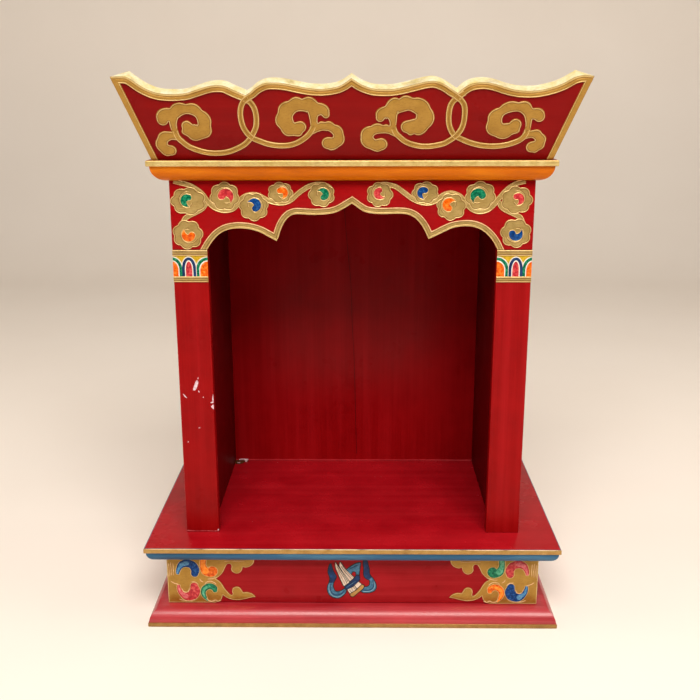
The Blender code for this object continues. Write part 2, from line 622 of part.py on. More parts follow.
def make_cornice_side(side, material):
    """A plainer side board, leaning out, mitred in front and square behind."""
    across_share = (BACK_FACE - CORNICE_FRONT) / MM / SIDE_DRAWN
    up_share = CORNICE_SLANT / MM / CORNICE_DRAWN[1]
    rise, lean = math.sin(CORNICE_LEAN), math.cos(CORNICE_LEAN)
    front = CORNICE_FRONT + GAP
    run = smooth(SIDE_TOP_EDGE) * (across_share, up_share)
    run[:, 0] += CORNICE_FRONT / MM
    corner_reach = front / MM - run[0, 1] * rise
    run[:, 0] += (corner_reach - run[0, 0]) * np.linspace(1.0, 0.0, len(run))
    back = BACK_FACE / MM
    board = np.array([*run, (back, 0.0), (front / MM, 0.0)])
    raised = [edge_border(run, BORDER_WIDTH / MM)]

    def back_point(x, y):
        back_y = y if y > GAP else -CORNICE_BOARD * math.tan(CORNICE_LEAN)
        reach = side * x
        front_end = front - y * rise
        back_end = front - back_y * rise + CORNICE_BOARD * lean
        straight = back_end + MITRE_RUN
        if reach < straight:
            reach = straight - (straight - reach) * (straight - back_end) / (straight - front_end)
        return (side * reach, back_y, -CORNICE_BOARD)

    shape = relief_board(board * (side, 1), [o * (side, 1) for o in raised], [], back_point)
    name = "cornice_left" if side < 0 else "cornice_right"
    add_piece(name, shape, material, (side * CORNICE_HALF, 0.0, CORNICE_BOTTOM),
              (math.pi / 2 + CORNICE_LEAN, 0.0, side * math.pi / 2))


def make_header(material):
    """The arched header with its gilt arch border, vine, flowers and jewels."""
    height = HEADER_HEIGHT - 2 * GAP
    across_share = POST_OUTER / MM / HEADER_DRAWN[0]
    up_share = height / MM / HEADER_DRAWN[1]
    arch_share = POST_INNER / MM / ARCH_DRAWN
    half, top = POST_OUTER / MM, height / MM
    arches = []
    for side in (-1, 1):
        arches.append([smooth(run) * (side * arch_share, up_share) for run in ARCH[side]])
    (left_hump, left_shoulder), (right_hump, right_shoulder) = arches
    middle = np.array([*right_shoulder, *left_shoulder[::-1][1:]])
    board = np.array([(-half, 0.0), (-half, top), (half, top), (half, 0.0),
                      *right_hump, *middle[1:], *left_hump[::-1][1:]])
    raised = [edge_border(run, BORDER_WIDTH / MM) for run in (right_hump, middle, left_hump[::-1])]
    sunk = []
    for side in (-1, 1):
        for path in VINES[side]:
            raised.append(fitted(ribbon(path, VINE_HALF), across_share, up_share, side))
        for (*place, turn), (x, y, radius, bite) in FLOWERS[side]:
            flower = oval(*place, FLOWER_LOBES, FLOWER_DEPTH, turn, 4 * FLOWER_LOBES)
            raised.append(fitted(flower, across_share, up_share, side))
            sunk.append(fitted(jewel(side * x, y, radius, bite), across_share, up_share))
    shape = relief_board(board, raised, sunk, straight_back(FRAME_BOARD))
    add_piece("arched_header", shape, material, (0.0, POST_FRONT_SETBACK, HEADER_BOTTOM + GAP),
              (math.pi / 2, 0.0, 0.0))


def make_post(side, material):
    """A front post with the two gilt bars of its petal band."""
    height = (HEADER_BOTTOM - SHELF_TOP - GAP) / MM
    half = POST_WIDTH / 2 / MM
    bar, drop = GILT_BAR / MM, PETAL_BAND_DROP / MM
    board = rectangle(-half, 0.0, half, height)
    raised = [rectangle(-half, top - bar, half, top) for top in (height, height - drop + bar)]
    shape = relief_board(board, raised, [], straight_back(FRAME_BOARD))
    name = "post_left" if side < 0 else "post_right"
    middle = side * (POST_OUTER - POST_WIDTH / 2)
    add_piece(name, shape, material, (middle, POST_FRONT_SETBACK, SHELF_TOP + GAP), (math.pi / 2, 0.0, 0.0))


def make_base_front(material):
    """The front board of the base box with a gilt scroll panel and four painted drops at each end."""
    height = (BASE_HEIGHT - 2 * GAP) / MM
    across_share = BASE_HALF / MM / BASE_DRAWN[0]
    up_share = height / BASE_DRAWN[1]
    end = BASE_DRAWN[0]
    board = rectangle(-BASE_HALF / MM, 0.0, BASE_HALF / MM, height)
    block = rectangle(0.0, 0.0, PANEL_BLOCK, BASE_DRAWN[1])
    shapes = [block, *(oval(x, y, radius, radius, count=22) for x, y, radius in PANEL_DISCS)]
    shapes += [band(path) for path in PANEL_BANDS]
    drops = [band(path, round_end=True) for path in DROPS.values()]
    raised, sunk = [], []
    for side in (-1, 1):
        for outlines, into in ((shapes, raised), (drops, sunk)):
            from_middle = [(end, 0.0) - outline * (1, -1) for outline in outlines]
            into += [fitted(outline, across_share, up_share, side) for outline in from_middle]
    shape = relief_board(board, raised, sunk, straight_back(BASE_BOARD))
    add_piece("base_front", shape, material, (0.0, BASE_INSET, PLINTH_TOP + GAP), (math.pi / 2, 0.0, 0.0))


def make_boards(red, wood):
    """The moulded boards, the rest of the base box and the walls of the niche."""
    for name, half, front, bottom, thickness, fillet, upside_down in (
        ("plinth_board", SHELF_HALF, 0.0, 0.0, PLINTH_THICKNESS, PLINTH_FILLET, False),
        ("shelf_board", SHELF_HALF, 0.0, SHELF_BOTTOM, SHELF_THICKNESS, SHELF_FILLET, True),
        ("roof_board", ROOF_HALF, ROOF_FRONT, ROOF_BOTTOM, ROOF_THICKNESS, ROOF_FILLET, True),
    ):
        shape = moulded_board(half, front, SHELF_DEPTH, thickness, fillet, upside_down)
        add_piece(name, shape, red, (0.0, 0.0, bottom))
    low, high = PLINTH_TOP + GAP, SHELF_BOTTOM - GAP
    base_back = BACK_FACE - BASE_BOARD
    shape = plain_board(-BASE_HALF, base_back, low, BASE_HALF, BACK_FACE, high)
    add_piece("base_back", shape, wood, (0.0, 0.0, 0.0))
    niche_low, niche_high = SHELF_TOP + GAP, ROOF_BOTTOM - GAP
    wall_outer = WALL_INNER + WALL_BOARD
    frame_back = POST_FRONT_SETBACK + FRAME_BOARD
    for side, word in ((-1, "left"), (1, "right")):
        ends = sorted((side * (BASE_HALF - BASE_BOARD), side * BASE_HALF))
        shape = plain_board(ends[0], BASE_INSET + BASE_BOARD + GAP, low, ends[1], base_back - GAP, high)
        add_piece("base_" + word, shape, red, (0.0, 0.0, 0.0))
        ends = sorted((side * WALL_INNER, side * wall_outer))
        shape = plain_board(ends[0], frame_back + GAP, niche_low, ends[1], PANEL_FACE - GAP, niche_high)
        add_piece("side_wall_" + word, shape, red, (0.0, 0.0, 0.0))
    shape = plain_board(-wall_outer, PANEL_FACE, niche_low, wall_outer, BACK_FACE, niche_high)
    add_piece("back_panel", shape, red, (0.0, 0.0, 0.0))


def stand_on_origin():
    """Hang all pieces on one empty and move it so that the origin is under the middle of the altar."""
    bpy.context.view_layer.update()
    pieces = [thing for thing in bpy.data.objects if thing.type == "MESH"]
    reach = [(piece.matrix_world @ vert.co).y for piece in pieces for vert in piece.data.vertices]
    frame = bpy.data.objects.new("altar_frame", None)
    bpy.context.scene.collection.objects.link(frame)
    for piece in pieces:
        piece.parent = frame
    frame.location = (0.0, -(min(reach) + max(reach)) / 2, 0.0)


def main():
    for thing in list(bpy.data.objects):
        bpy.data.objects.remove(thing, do_unlink=True)
    red = finish(*RED_LACQUER)
    gilt = finish(*GILT_PAINT)
    wood = finish(*PLAIN_WOOD)
    make_boards(red, wood)
    make_base_front(gilt)
    for side in (-1, 1):
        make_post(side, red)
        make_cornice_side(side, red)
    make_header(red)
    make_cornice_front(red)
    stand_on_origin()


main()
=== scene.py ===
import math

import bmesh
import bpy
import numpy as np
from mathutils import Matrix, Vector
from mathutils.geometry import delaunay_2d_cdt


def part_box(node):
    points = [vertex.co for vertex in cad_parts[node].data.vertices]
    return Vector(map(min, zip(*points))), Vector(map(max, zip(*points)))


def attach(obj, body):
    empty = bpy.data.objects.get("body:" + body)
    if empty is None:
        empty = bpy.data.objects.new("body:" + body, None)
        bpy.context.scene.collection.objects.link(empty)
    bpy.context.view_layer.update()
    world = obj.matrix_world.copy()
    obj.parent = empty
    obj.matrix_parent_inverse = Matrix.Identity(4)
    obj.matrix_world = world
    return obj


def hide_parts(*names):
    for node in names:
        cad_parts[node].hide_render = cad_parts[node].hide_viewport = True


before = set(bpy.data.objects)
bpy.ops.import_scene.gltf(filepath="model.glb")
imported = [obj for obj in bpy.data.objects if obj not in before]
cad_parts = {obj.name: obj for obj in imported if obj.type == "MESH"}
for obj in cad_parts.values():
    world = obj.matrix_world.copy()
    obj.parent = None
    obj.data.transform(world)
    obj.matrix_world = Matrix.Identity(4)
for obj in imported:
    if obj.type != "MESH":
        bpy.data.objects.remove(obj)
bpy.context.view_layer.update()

# Everything drawn below is in millimetres on its board's face, and LINE_STEP is the spacing of the points
LINE_STEP = 0.8
# Points of joined outlines that are closer than this become one
WELD = 0.02
MM = 0.001
# How far the cornice boards lean out from upright
LEAN = math.radians(20.0)
# Edges sharper than this are shaded sharp
SHARP_ANGLE = math.radians(38.0)
# Where relief starts, under its board's face, and how far behind a solid's front that face lies
FOOT = -0.3
RELIEF_DEPTH = 1.0
# How far a strip is carried past a wall before it is cut there
OVERRUN = 8.0
# How far in from the edge of a gilt shape its piped line and its brown line run
PIPE_INSET = 0.42
LINE_INSET = 1.15
# Number of steps round a moulded board's quarter-round
ROUND_STEPS = 20

# Everything drawn is keyed by its side, -1 left and 1 right, because the two halves differ slightly.
# Top edge of the cornice from the corner to the middle, as (distance from the middle, height up the
# face), one stretch on each side of the sharp notch
TOP_EDGE = {
    -1: (
        ((181.8, 66.9), (175, 67.2), (168.5, 66.2), (160, 60), (155, 57.1), (149.5, 54.8), (143, 53.6),
         (134, 53.4), (126, 54.2), (118, 56.6), (109, 59.4), (102, 60.3), (96, 59.6), (90, 56.8),
         (80.5, 52.4)),
        ((80.5, 52.4), (76.7, 54.8), (71.7, 58.9), (65, 61.8), (57, 62.2), (49.7, 61.4), (42.6, 59.9),
         (33, 58), (26, 57.3), (20, 57.4), (14, 58.3), (9, 59.7), (4.7, 62.1), (0, 65.6)),
    ),
    1: (
        ((181.8, 66.9), (175, 67.6), (168, 66.2), (161, 62.2), (156, 59.8), (149.3, 57.6), (141, 55.9),
         (132.7, 55.5), (124.3, 56.3), (116, 58.4), (108, 61), (101, 62.2), (95, 62), (89.3, 60.6),
         (84.3, 57.6), (80.5, 53.9)),
        ((80.5, 53.9), (76, 56.8), (71.7, 59.7), (67.4, 61.9), (62, 63.3), (56, 62.8), (46, 60.3),
         (38.9, 58.5), (31.7, 57.2), (24.6, 56.9), (17.4, 57.3), (12.4, 58.6), (6.7, 61.1), (0, 65.6)),
    ),
}

# Interlaced ribbons of the cornice, from the notch through the almond to the inner and the outer scroll
RIBBON_HALF = 2.2
# Gilt fill round each notch, where border and ribbons cross
KNOT_RADIUS = 3.0
RIBBONS = {
    -1: (
        ((75.5, 52.6), (80.5, 49.7), (83.6, 45.6), (85.2, 40), (85.2, 34), (84.2, 28.5), (82.4, 24.4),
         (79.6, 20.6), (76.2, 17.9), (71.7, 15.8), (65, 13.3), (57, 12), (49.7, 12.3), (44, 13.8),
         (38.6, 16.8), (34.4, 20.2), (31, 24.6), (29, 30)),
        ((85.6, 52.3), (80.5, 49.7), (76.4, 46.2), (74, 41), (73.3, 35), (73.8, 28.7), (75.3, 24.4),
         (77.6, 20.4), (80.4, 16.4), (85, 12.3), (93.3, 8.2), (99, 6.5), (105, 5.8), (111.5, 6),
         (118.3, 7.4), (126.7, 10.8), (131.7, 14.8), (135.4, 19), (137.4, 25.6)),
    ),
    1: (
        ((75.5, 54.2), (80.5, 51), (84.2, 47.4), (86.1, 43.5), (86.6, 38), (86.2, 31), (84.7, 25.7),
         (82.4, 22), (79.6, 18.8), (76, 16.1), (71.7, 13.6), (64, 11.8), (58.9, 11.3), (53, 11.6),
         (46, 13.4), (41, 15.9), (37.4, 18.9), (33.9, 22.8), (31.9, 28.4)),
        ((85.6, 54.4), (80.5, 51), (77.2, 47.8), (75.4, 44.4), (74.5, 38.5), (74.8, 31), (76.5, 25.4),
         (79.6, 20.6), (85.2, 17.4), (91, 14.8), (99.3, 12.4), (107.7, 11.4), (116, 11.7), (124.3, 13.6),
         (131, 16.7), (134.5, 20.7), (136, 26)),
    ),
}

# Cloud scrolls: the curling head and the curl below as rows (distance from the middle, height, half
# width), with one lobe from each row to the next after the plain ones, and the round lobe by the neck,
# which is drawn the same way
SCROLLS = {
    (-1, "outer"): (
        ((137.4, 24, 2.4), (137.9, 30.5, 2.9), (136.1, 38.4, 4.7), (126.6, 41.9, 3.8), (117.2, 38.2, 3.9),
         (114, 28.7, 5.1), (117.8, 23.5, 5.8), (125, 25, 5.5), (127.5, 28.3, 4.2)),
        ((126.7, 11.2, 1.2), (131.9, 15.6, 1.8), (136.8, 19.4, 2.6), (142.2, 20.2, 3.6), (147.8, 16.6, 4.2),
         (147.2, 9.9, 4.2), (141.8, 8, 4.2)),
        ((137, 37, 4.6), (141.4, 37.6, 5.2), (144.9, 36.4, 5.4), (145.6, 33.4, 4.6)),
    ),
    (-1, "inner"): (
        ((29, 28, 2.8), (29.3, 34.6, 3.2), (29.9, 43, 5.5), (37.8, 44.9, 4.7), (45.4, 43.6, 5.2),
         (50.9, 37.1, 5.9), (49.9, 29.1, 6), (44.7, 25.8, 5.3), (39.6, 27.4, 4.6)),
        ((38.6, 17.4, 1.2), (34, 21, 1.7), (30.2, 24, 2.3), (25.4, 26.8, 2.9), (20.8, 27.8, 3.3),
         (14.9, 26.4, 3.4), (10.2, 20.8, 4), (12.8, 14.6, 4.5), (18.6, 14.1, 4.9)),
        ((28.4, 40.6, 4.6), (24.4, 41.6, 5), (21, 40.2, 4.4), (19.7, 37.3, 2.9)),
    ),
    (1, "outer"): (
        ((136, 24.6, 2.2), (136, 31.5, 2.4), (134.5, 39.7, 4.2), (126.8, 43.2, 3.5), (114.6, 39.7, 3.6),
         (110.2, 31.5, 5.6), (113.5, 24.8, 5.9), (122.8, 25.9, 4.8), (126.2, 29, 4.7)),
        ((126.4, 14.6, 1.2), (131, 17, 1.7), (135.4, 20, 2.4), (140.2, 21.4, 3.1), (145, 19.2, 3.6),
         (146.4, 14.9, 4.1), (144.1, 11.9, 4.3), (140.6, 10.7, 4.5)),
        ((136, 37.4, 4), (139.6, 37.8, 4.4), (142.8, 37.2, 5), (144, 35.4, 4.2)),
    ),
    (1, "inner"): (
        ((31.9, 26.8, 2.5), (31.9, 32.4, 2.9), (30.9, 41.6, 5.6), (37.6, 44.4, 5.3), (45.5, 45.4, 5.1),
         (55.1, 39.6, 6), (54.1, 29.9, 6.3), (47.4, 27.7, 5.8), (42.8, 27.4, 5)),
        ((42, 15.8, 1.2), (37.4, 19, 1.7), (33.4, 22, 2.3), (28.8, 24.6, 2.8), (24.2, 25.4, 3.2),
         (16.6, 24.6, 3.9), (11.6, 19, 4.8), (16.8, 13, 4.4), (23, 13.1, 5)),
        ((30, 38.6, 4.6), (26.4, 39, 4.8), (23, 37.6, 4.8), (22, 34.8, 3.4)),
    ),
}
HEAD_LOBE_DEPTH = 2.2
CURL_LOBE_DEPTH = 1.5
HEAD_PLAIN_ROWS = 2
CURL_PLAIN_ROWS = 3

# Header: arch from the post to the cusp and on to the middle, as (distance, height above the springing)
ARCH = {
    -1: (
        ((119.2, 0), (117.2, 3.2), (114.2, 7.4), (110.6, 11.4), (106, 14.7), (100.8, 16.8), (94, 17.8),
         (88, 17.6), (82, 16.7), (75, 14.4), (68, 10.6), (61.8, 7.3)),
        ((61.8, 7.3), (60, 10.9), (58.4, 16), (56.2, 21), (53.4, 25.2), (50, 28.2), (45.5, 29.5), (39, 29.3),
         (32, 28.9), (25, 29.1), (18, 29.8), (12.6, 31.2), (7.6, 33.6), (0, 38.2)),
    ),
    1: (
        ((119.2, 0), (116.6, 5), (113.6, 9.4), (110, 13.2), (105.7, 16.4), (100, 18.8), (94, 19.6),
         (88, 19.2), (82, 18), (76, 15.4), (69, 11.8), (62.6, 8.9)),
        ((62.6, 8.9), (60.7, 13), (58.6, 17.3), (55.7, 21.7), (52, 25.7), (48, 28.2), (43.6, 29.5),
         (37, 29.9), (27, 29.6), (20, 29.7), (13.4, 30.5), (8.6, 32.2), (0, 38.2)),
    ),
}
# Flowers: distance from the middle, height, half width, half height and turn of the lobes; then the
# jewel's distance, height, radius, the direction of its bite as seen, in degrees, and 1 where its tip is
# on the left of the bite, looking out of the jewel, or -1 where it is on the right
FLOWERS = {
    -1: (
        ((132.9, 40.2, 13.9, 10.9, 0), (133.7, 40.5, 5.2, -36, -1)),
        ((134.5, 12.7, 12.0, 11.7, 20), (134, 12.6, 5.4, 92, 1)),
        ((103.2, 44.1, 11.6, 11.3, 40), (102.2, 43.9, 6.2, -88, 1)),
        ((79.8, 35.6, 11.6, 11.2, 10), (79.6, 37, 5.5, 190, -1)),
        ((57.9, 47, 9.9, 8.5, 30), (56.6, 46.8, 4.6, -125, 1)),
        ((24.6, 45.5, 10.4, 9.8, 50), (23.8, 45.8, 5.0, 185, -1)),
    ),
    1: (
        ((133.2, 41, 12.4, 11.0, 0), (134.1, 41.6, 4.8, -135, 1)),
        ((133.7, 13.9, 12.1, 11.6, 20), (133.8, 13.4, 5.6, 75, -1)),
        ((103.7, 44.4, 12.1, 11.4, 40), (101.9, 44, 6.2, -88, -1)),
        ((80.5, 35.6, 11.6, 10.8, 10), (79.2, 37.2, 5.5, -5, 1)),
        ((59.3, 46.9, 10.5, 8.8, 30), (57.7, 46.7, 4.8, -45, -1)),
        ((22.5, 45.5, 10.3, 9.8, 50), (22.7, 46.4, 4.8, 0, -1)),
    ),
}
FLOWER_LOBES = 7
FLOWER_DEPTH = 0.07
# A jewel from its tip to its round head: degrees round from the bite, then the distance from the middle
# and the half width as shares of its radius
COMMA = ((34, 0.98, 0.06), (56, 0.82, 0.22), (88, 0.64, 0.4), (130, 0.54, 0.5), (175, 0.52, 0.53),
         (218, 0.52, 0.53), (258, 0.53, 0.5))
# Vine from the top corner to the middle flower, and its branch to the lowest flower
VINE_HALF = 2.1
VINES = {
    -1: (((144, 56.6), (139, 55.2), (132, 53.3), (126.4, 50.3), (121.4, 46.2), (118.4, 42), (115.8, 38.4),
          (111.6, 34.8), (104.8, 32.6), (97.9, 33.4), (93.8, 36.6), (91, 40.6), (87, 44), (80.7, 45.6),
          (75, 44.4), (68, 40.8), (60, 38.7), (53.6, 39.2), (48.6, 41.8), (42.8, 47), (35.7, 51.7),
          (30.2, 53.6), (24.6, 53.8), (19.6, 52.2), (16.2, 48.6)),
         ((118.4, 38.4), (121.6, 34.2), (127, 31), (132.4, 28.4), (136.4, 25.6), (138.4, 20.6))),
    1: (((139.6, 56.2), (133, 54.6), (127.6, 51.6), (122.8, 47.2), (118.6, 42), (113.8, 36), (109.3, 32.7),
         (103.6, 31.6), (98.6, 32.8), (94, 36.4), (90.4, 40.6), (86.8, 44.4), (80, 46.7), (73.4, 44.8),
         (68.4, 40.8), (62.6, 38.6), (55.7, 39.2), (49.4, 41.8), (43, 46.4), (36.4, 51.2), (30.2, 53.4),
         (24.4, 53.8), (19.2, 52.2), (16, 48.4)),
        ((118.8, 39.2), (122, 34.6), (126.8, 31.8), (132.4, 29.2), (136.8, 26.6), (139.2, 21))),
}

# Corner scroll panel of the base: outline from the end of the board, as (distance from the end, height)
PANEL = ((0, 0), (0, 45.4), (77.4, 45.4), (77.4, 41.6), (76.2, 38.6), (73.4, 36.2), (70, 35.2), (67.2, 35.8),
         (66.6, 33), (64.6, 30.2), (61.6, 29.2), (58.6, 30.4), (57, 33), (57.4, 36.2), (56.8, 38.2),
         (55.3, 38.9), (53.4, 38.2), (51.6, 35), (49.6, 30.6), (46.6, 27), (42.8, 23.9), (46, 21.6),
         (48.4, 18.4), (50.2, 14.8), (52.4, 11.4), (55, 8.4), (56.6, 7.6), (57.4, 8.6), (57, 11.6),
         (58, 14.6), (61, 16), (64, 15), (65.6, 12.4), (66.8, 10.4), (70.3, 10.5), (74.2, 9.4), (76.6, 7.4),
         (77.6, 5.9), (73, 5), (68, 3.6), (62, 2.5), (56.5, 3.1), (52, 4.9), (48.6, 7.6), (47.6, 4),
         (45.2, 1.6), (42, 0))
# Points of the panel's outline that stay sharp
PANEL_CORNERS = (0, 1, 2, 7, 13, 20, 25, 33, 37, 43, 46)
# Thin raised strokes on the panel, in the cream of painted highlight
PANEL_STROKES = (
    ((2.8, 21.5), (5.7, 19.5), (9.9, 18.2)),
    ((21, 20.9), (24.5, 20.5), (27.6, 18.4)),
    ((12.6, 14.2), (13.4, 11.5), (15.7, 10.3), (18.2, 11.5), (18.9, 14.2)),
    ((33, 18.8), (34.9, 20.7), (38, 21.5), (41, 20.5), (43.4, 18.4)),
    ((34, 5), (35.7, 2.2), (38.8, 1.3), (41.8, 2.6), (44.2, 1.3), (47.2, 2.6)),
    ((35.5, 23.8), (39.5, 24), (44.2, 25.7)),
    ((9.4, 3.4), (14, 1.9), (20, 2.1), (26, 4.4)),
    ((28.6, 24.2), (29.6, 22), (31.8, 20.6)),
    ((51, 41.4), (57, 42), (63, 41.6), (69, 42)),
    ((1.4, 25.6), (2, 32), (1.6, 39.5)),
    ((3.4, 26.4), (3.9, 33), (3.4, 40.4)),
    ((5.4, 27.2), (5.8, 33.4), (5.6, 39.6)),
)
DROPS = {
    "arch": ((9.5, 28.5, 1.2), (9.6, 31, 1.7), (11, 35, 2.4), (13.4, 38, 3.3), (17.6, 39.4, 3.8),
             (22.6, 37.6, 3.8), (25, 33, 3.8), (24.4, 29, 3.2)),
    "hook": ((32.4, 43, 2.6), (32.2, 37, 2.7), (34.2, 31.8, 4), (38.6, 30.8, 5), (40, 31.6, 4.8)),
    "cup": ((9.6, 17.8, 1.1), (9.8, 14.2, 1.7), (11.4, 10.2, 2.4), (15.6, 6.6, 3.8), (20.6, 6.8, 4.9),
            (23.8, 11.6, 4.7), (23.4, 16.6, 3.4)),
    "ring": ((35, 2, 0.5), (32.6, 5.6, 1.6), (31.3, 9.6, 2.2), (32.6, 14, 2.7), (37, 16.6, 2.9),
             (41, 14.8, 2.9), (41.8, 12.4, 2.1)),
}

# Side cornice boards: top edge from the front corner backwards, and the height at the back end
SIDE_TOP_EDGE = ((-22.9, 66.9), (-16, 67.2), (-9, 66.2), (4, 60), (20, 54.2), (36, 52.2), (54, 53.4),
                 (72, 54.2), (90, 52), (120, 45), (150, 37), (175, 33), (188.1, 32))


def linear(code):
    """An sRGB hex colour as linear light."""
    channels = [int(code[i:i + 2], 16) / 255 for i in (0, 2, 4)]
    return (*(c / 12.92 if c <= 0.04045 else ((c + 0.055) / 1.055) ** 2.4 for c in channels), 1.0)


def add(tree, kind, settings=None, sockets=None, links=None):
    """A node with its settings, its constant sockets and the outputs linked into it."""
    node = tree.nodes.new(kind)
    for name, value in (settings or {}).items():
        setattr(node, name, value)
    for name, value in (sockets or {}).items():
        node.inputs[name].default_value = value
    for name, output in (links or {}).items():
        tree.links.new(output, node.inputs[name])
    return node


def blank(name):
    """A new material's tree, its shader and its object coordinates."""
    material = bpy.data.materials.new(name)
    material.use_nodes = True
    tree = material.node_tree
    place = tree.nodes.new("ShaderNodeTexCoord").outputs["Object"]
    return material, tree, tree.nodes["Principled BSDF"], place


def mixed(tree, factor, first, second):
    """The colour between two hex colours or colour outputs."""
    sockets, links = {}, {0: factor}
    for number, colour in ((6, first), (7, second)):
        if isinstance(colour, str):
            sockets[number] = linear(colour)
        else:
            links[number] = colour
    return add(tree, "ShaderNodeMix", {"data_type": "RGBA"}, sockets, links).outputs[2]


def ranged(tree, value, low, high, new_low=0.0, new_high=1.0):
    """A value's range stretched to a new one and held there."""
    sockets = {"From Min": low, "From Max": high, "To Min": new_low, "To Max": new_high}
    return add(tree, "ShaderNodeMapRange", {}, sockets, {"Value": value}).outputs["Result"]


def noise(tree, place, scale, detail=3.0, rough=0.55, stretch=(1.0, 1.0, 1.0)):
    """Noise with features of about 1 / scale metres, drawn out along the axes with a small stretch."""
    at = add(tree, "ShaderNodeMapping", {}, {"Scale": stretch}, {"Vector": place}).outputs["Vector"]
    sockets = {"Scale": scale, "Detail": detail, "Roughness": rough}
    return add(tree, "ShaderNodeTexNoise", {}, sockets, {"Vector": at}).outputs["Fac"]


def bumped(tree, shader, links, strength, distance):
    """A bump for the shader from a height, over another normal where one is linked too."""
    bump = add(tree, "ShaderNodeBump", {}, {"Strength": strength, "Distance": distance}, links)
    tree.links.new(bump.outputs["Normal"], shader.inputs["Normal"])
    return bump.outputs["Normal"]


def brushed_lacquer(name, deep, body, pale_tone, strokes, gloss=0.3, specks=True, shine=0.08, streaks=0.45):
    """Deep red lacquer laid on with a brush: fine strokes, cloudy patches and a few pale dust specks."""
    material, tree, shader, place = blank(name)
    fine = noise(tree, place, 1.0, 4.0, 0.6, strokes)
    broad = noise(tree, place, 1.0, 2.0, 0.5, tuple(s * 0.22 for s in strokes))
    clouds = noise(tree, place, 26.0, 3.0, 0.6)
    tone = mixed(tree, ranged(tree, clouds, 0.3, 0.7), deep, body)
    tone = mixed(tree, ranged(tree, broad, 0.42, 0.75, 0.0, streaks + 0.1), tone, pale_tone)
    tone = mixed(tree, ranged(tree, fine, 0.5, 0.8, 0.0, streaks), tone, pale_tone)
    tone = mixed(tree, ranged(tree, fine, 0.5, 0.22, 0.0, streaks), tone, deep)
    if specks:
        dots = add(tree, "ShaderNodeTexVoronoi", {}, {"Scale": 75.0}, {"Vector": place})
        near = ranged(tree, dots.outputs["Distance"], 0.022, 0.03, 1.0, 0.0)
        few = ranged(tree, dots.outputs["Color"], 0.66, 0.67)
        seen = add(tree, "ShaderNodeMath", {"operation": "MULTIPLY"}, {}, {0: near, 1: few}).outputs[0]
        tone = mixed(tree, seen, tone, "D58C92")
    tree.links.new(tone, shader.inputs["Base Color"])
    tree.links.new(ranged(tree, clouds, 0.3, 0.7, gloss - 0.05, gloss + 0.09), shader.inputs["Roughness"])
    marks = bumped(tree, shader, {"Height": fine}, 0.16, 0.0004)
    peel = noise(tree, place, 420.0, 2.0, 0.5)
    bumped(tree, shader, {"Height": peel, "Normal": marks}, 0.12, 0.0003)
    shader.inputs["Specular IOR Level"].default_value = shine
    shader.inputs["Coat Weight"].default_value = 0.4 if shine > 0.3 else 0.0
    shader.inputs["Coat Roughness"].default_value = 0.16
    shader.inputs["IOR"].default_value = 1.5
    return material


def gold_paint(name, dark, body, light, grime=0.0, metal=0.45):
    """Satin gold paint on gesso: fine brushed grain, warm patches, brown where it is thin."""
    material, tree, shader, place = blank(name)
    grain = noise(tree, place, 1.0, 3.0, 0.6, (420.0, 420.0, 1500.0))
    patches = noise(tree, place, 120.0, 4.0, 0.6)
    tone = mixed(tree, ranged(tree, patches, 0.3, 0.7), body, light)
    tone = mixed(tree, ranged(tree, grain, 0.5, 0.25, 0.0, 0.55), tone, dark)
    if grime:
        stains = noise(tree, place, 45.0, 5.0, 0.65)
        tone = mixed(tree, ranged(tree, stains, 0.56, 0.7, 0.0, grime), tone, "6B4A1E")
    tree.links.new(tone, shader.inputs["Base Color"])
    tree.links.new(ranged(tree, patches, 0.3, 0.7, 0.28, 0.44), shader.inputs["Roughness"])
    bumped(tree, shader, {"Height": grain}, 0.3, 0.0003)
    shader.inputs["Metallic"].default_value = metal
    return material


def hand_paint(name, deep, body, light, gloss=0.24, scale=160.0, strokes=(1.0, 1.0, 1.0), shine=0.25):
    """Glossy brushed colour, cloudy where the brush left more or less of it."""
    material, tree, shader, place = blank(name)
    clouds = noise(tree, place, scale, 3.0, 0.6, strokes)
    tone = mixed(tree, ranged(tree, clouds, 0.32, 0.5), deep, body)
    tone = mixed(tree, ranged(tree, clouds, 0.54, 0.72), tone, light)
    tree.links.new(tone, shader.inputs["Base Color"])
    tree.links.new(ranged(tree, clouds, 0.3, 0.7, gloss, gloss + 0.14), shader.inputs["Roughness"])
    bumped(tree, shader, {"Height": clouds}, 0.2, 0.0002)
    shader.inputs["Specular IOR Level"].default_value = shine
    return material


def stained_wood(name):
    """Plain board stained brown: long grain along its length, open pores, no gloss."""
    material, tree, shader, place = blank(name)
    grain = noise(tree, place, 1.0, 5.0, 0.65, (14.0, 300.0, 300.0))
    pores = noise(tree, place, 1.0, 2.0, 0.5, (60.0, 1800.0, 1800.0))
    tone = mixed(tree, ranged(tree, grain, 0.3, 0.7), "4A2415", "7C4A2C")
    tone = mixed(tree, ranged(tree, pores, 0.45, 0.28, 0.0, 0.7), tone, "2E150C")
    tree.links.new(tone, shader.inputs["Base Color"])
    shader.inputs["Roughness"].default_value = 0.62
    bumped(tree, shader, {"Height": pores}, 0.4, 0.0003)
    return material


# Strokes: how tightly the brush marks lie along x, y and z, per metre
UPRIGHT = (700.0, 700.0, 16.0)
LEVEL = (14.0, 420.0, 700.0)

# What the eye sees: deep red, thin enough on the posts for the strokes to show lighter
POST_RED = brushed_lacquer("lacquer_posts", "800507", "94090B", "A21418", UPRIGHT)
# Darker, oxblood red under the gilt scrolls of the cornice
CORNICE_RED = brushed_lacquer("lacquer_cornice", "740607", "810A09", "8C100F", LEVEL, streaks=0.22)
# Clear strong red behind the flowers
HEADER_RED = brushed_lacquer("lacquer_header", "880308", "98060B", "A41014", LEVEL)
# Worn red, wiped along the base
BASE_RED = brushed_lacquer("lacquer_base", "840A10", "9A131A", "AE262C", LEVEL, streaks=0.3)
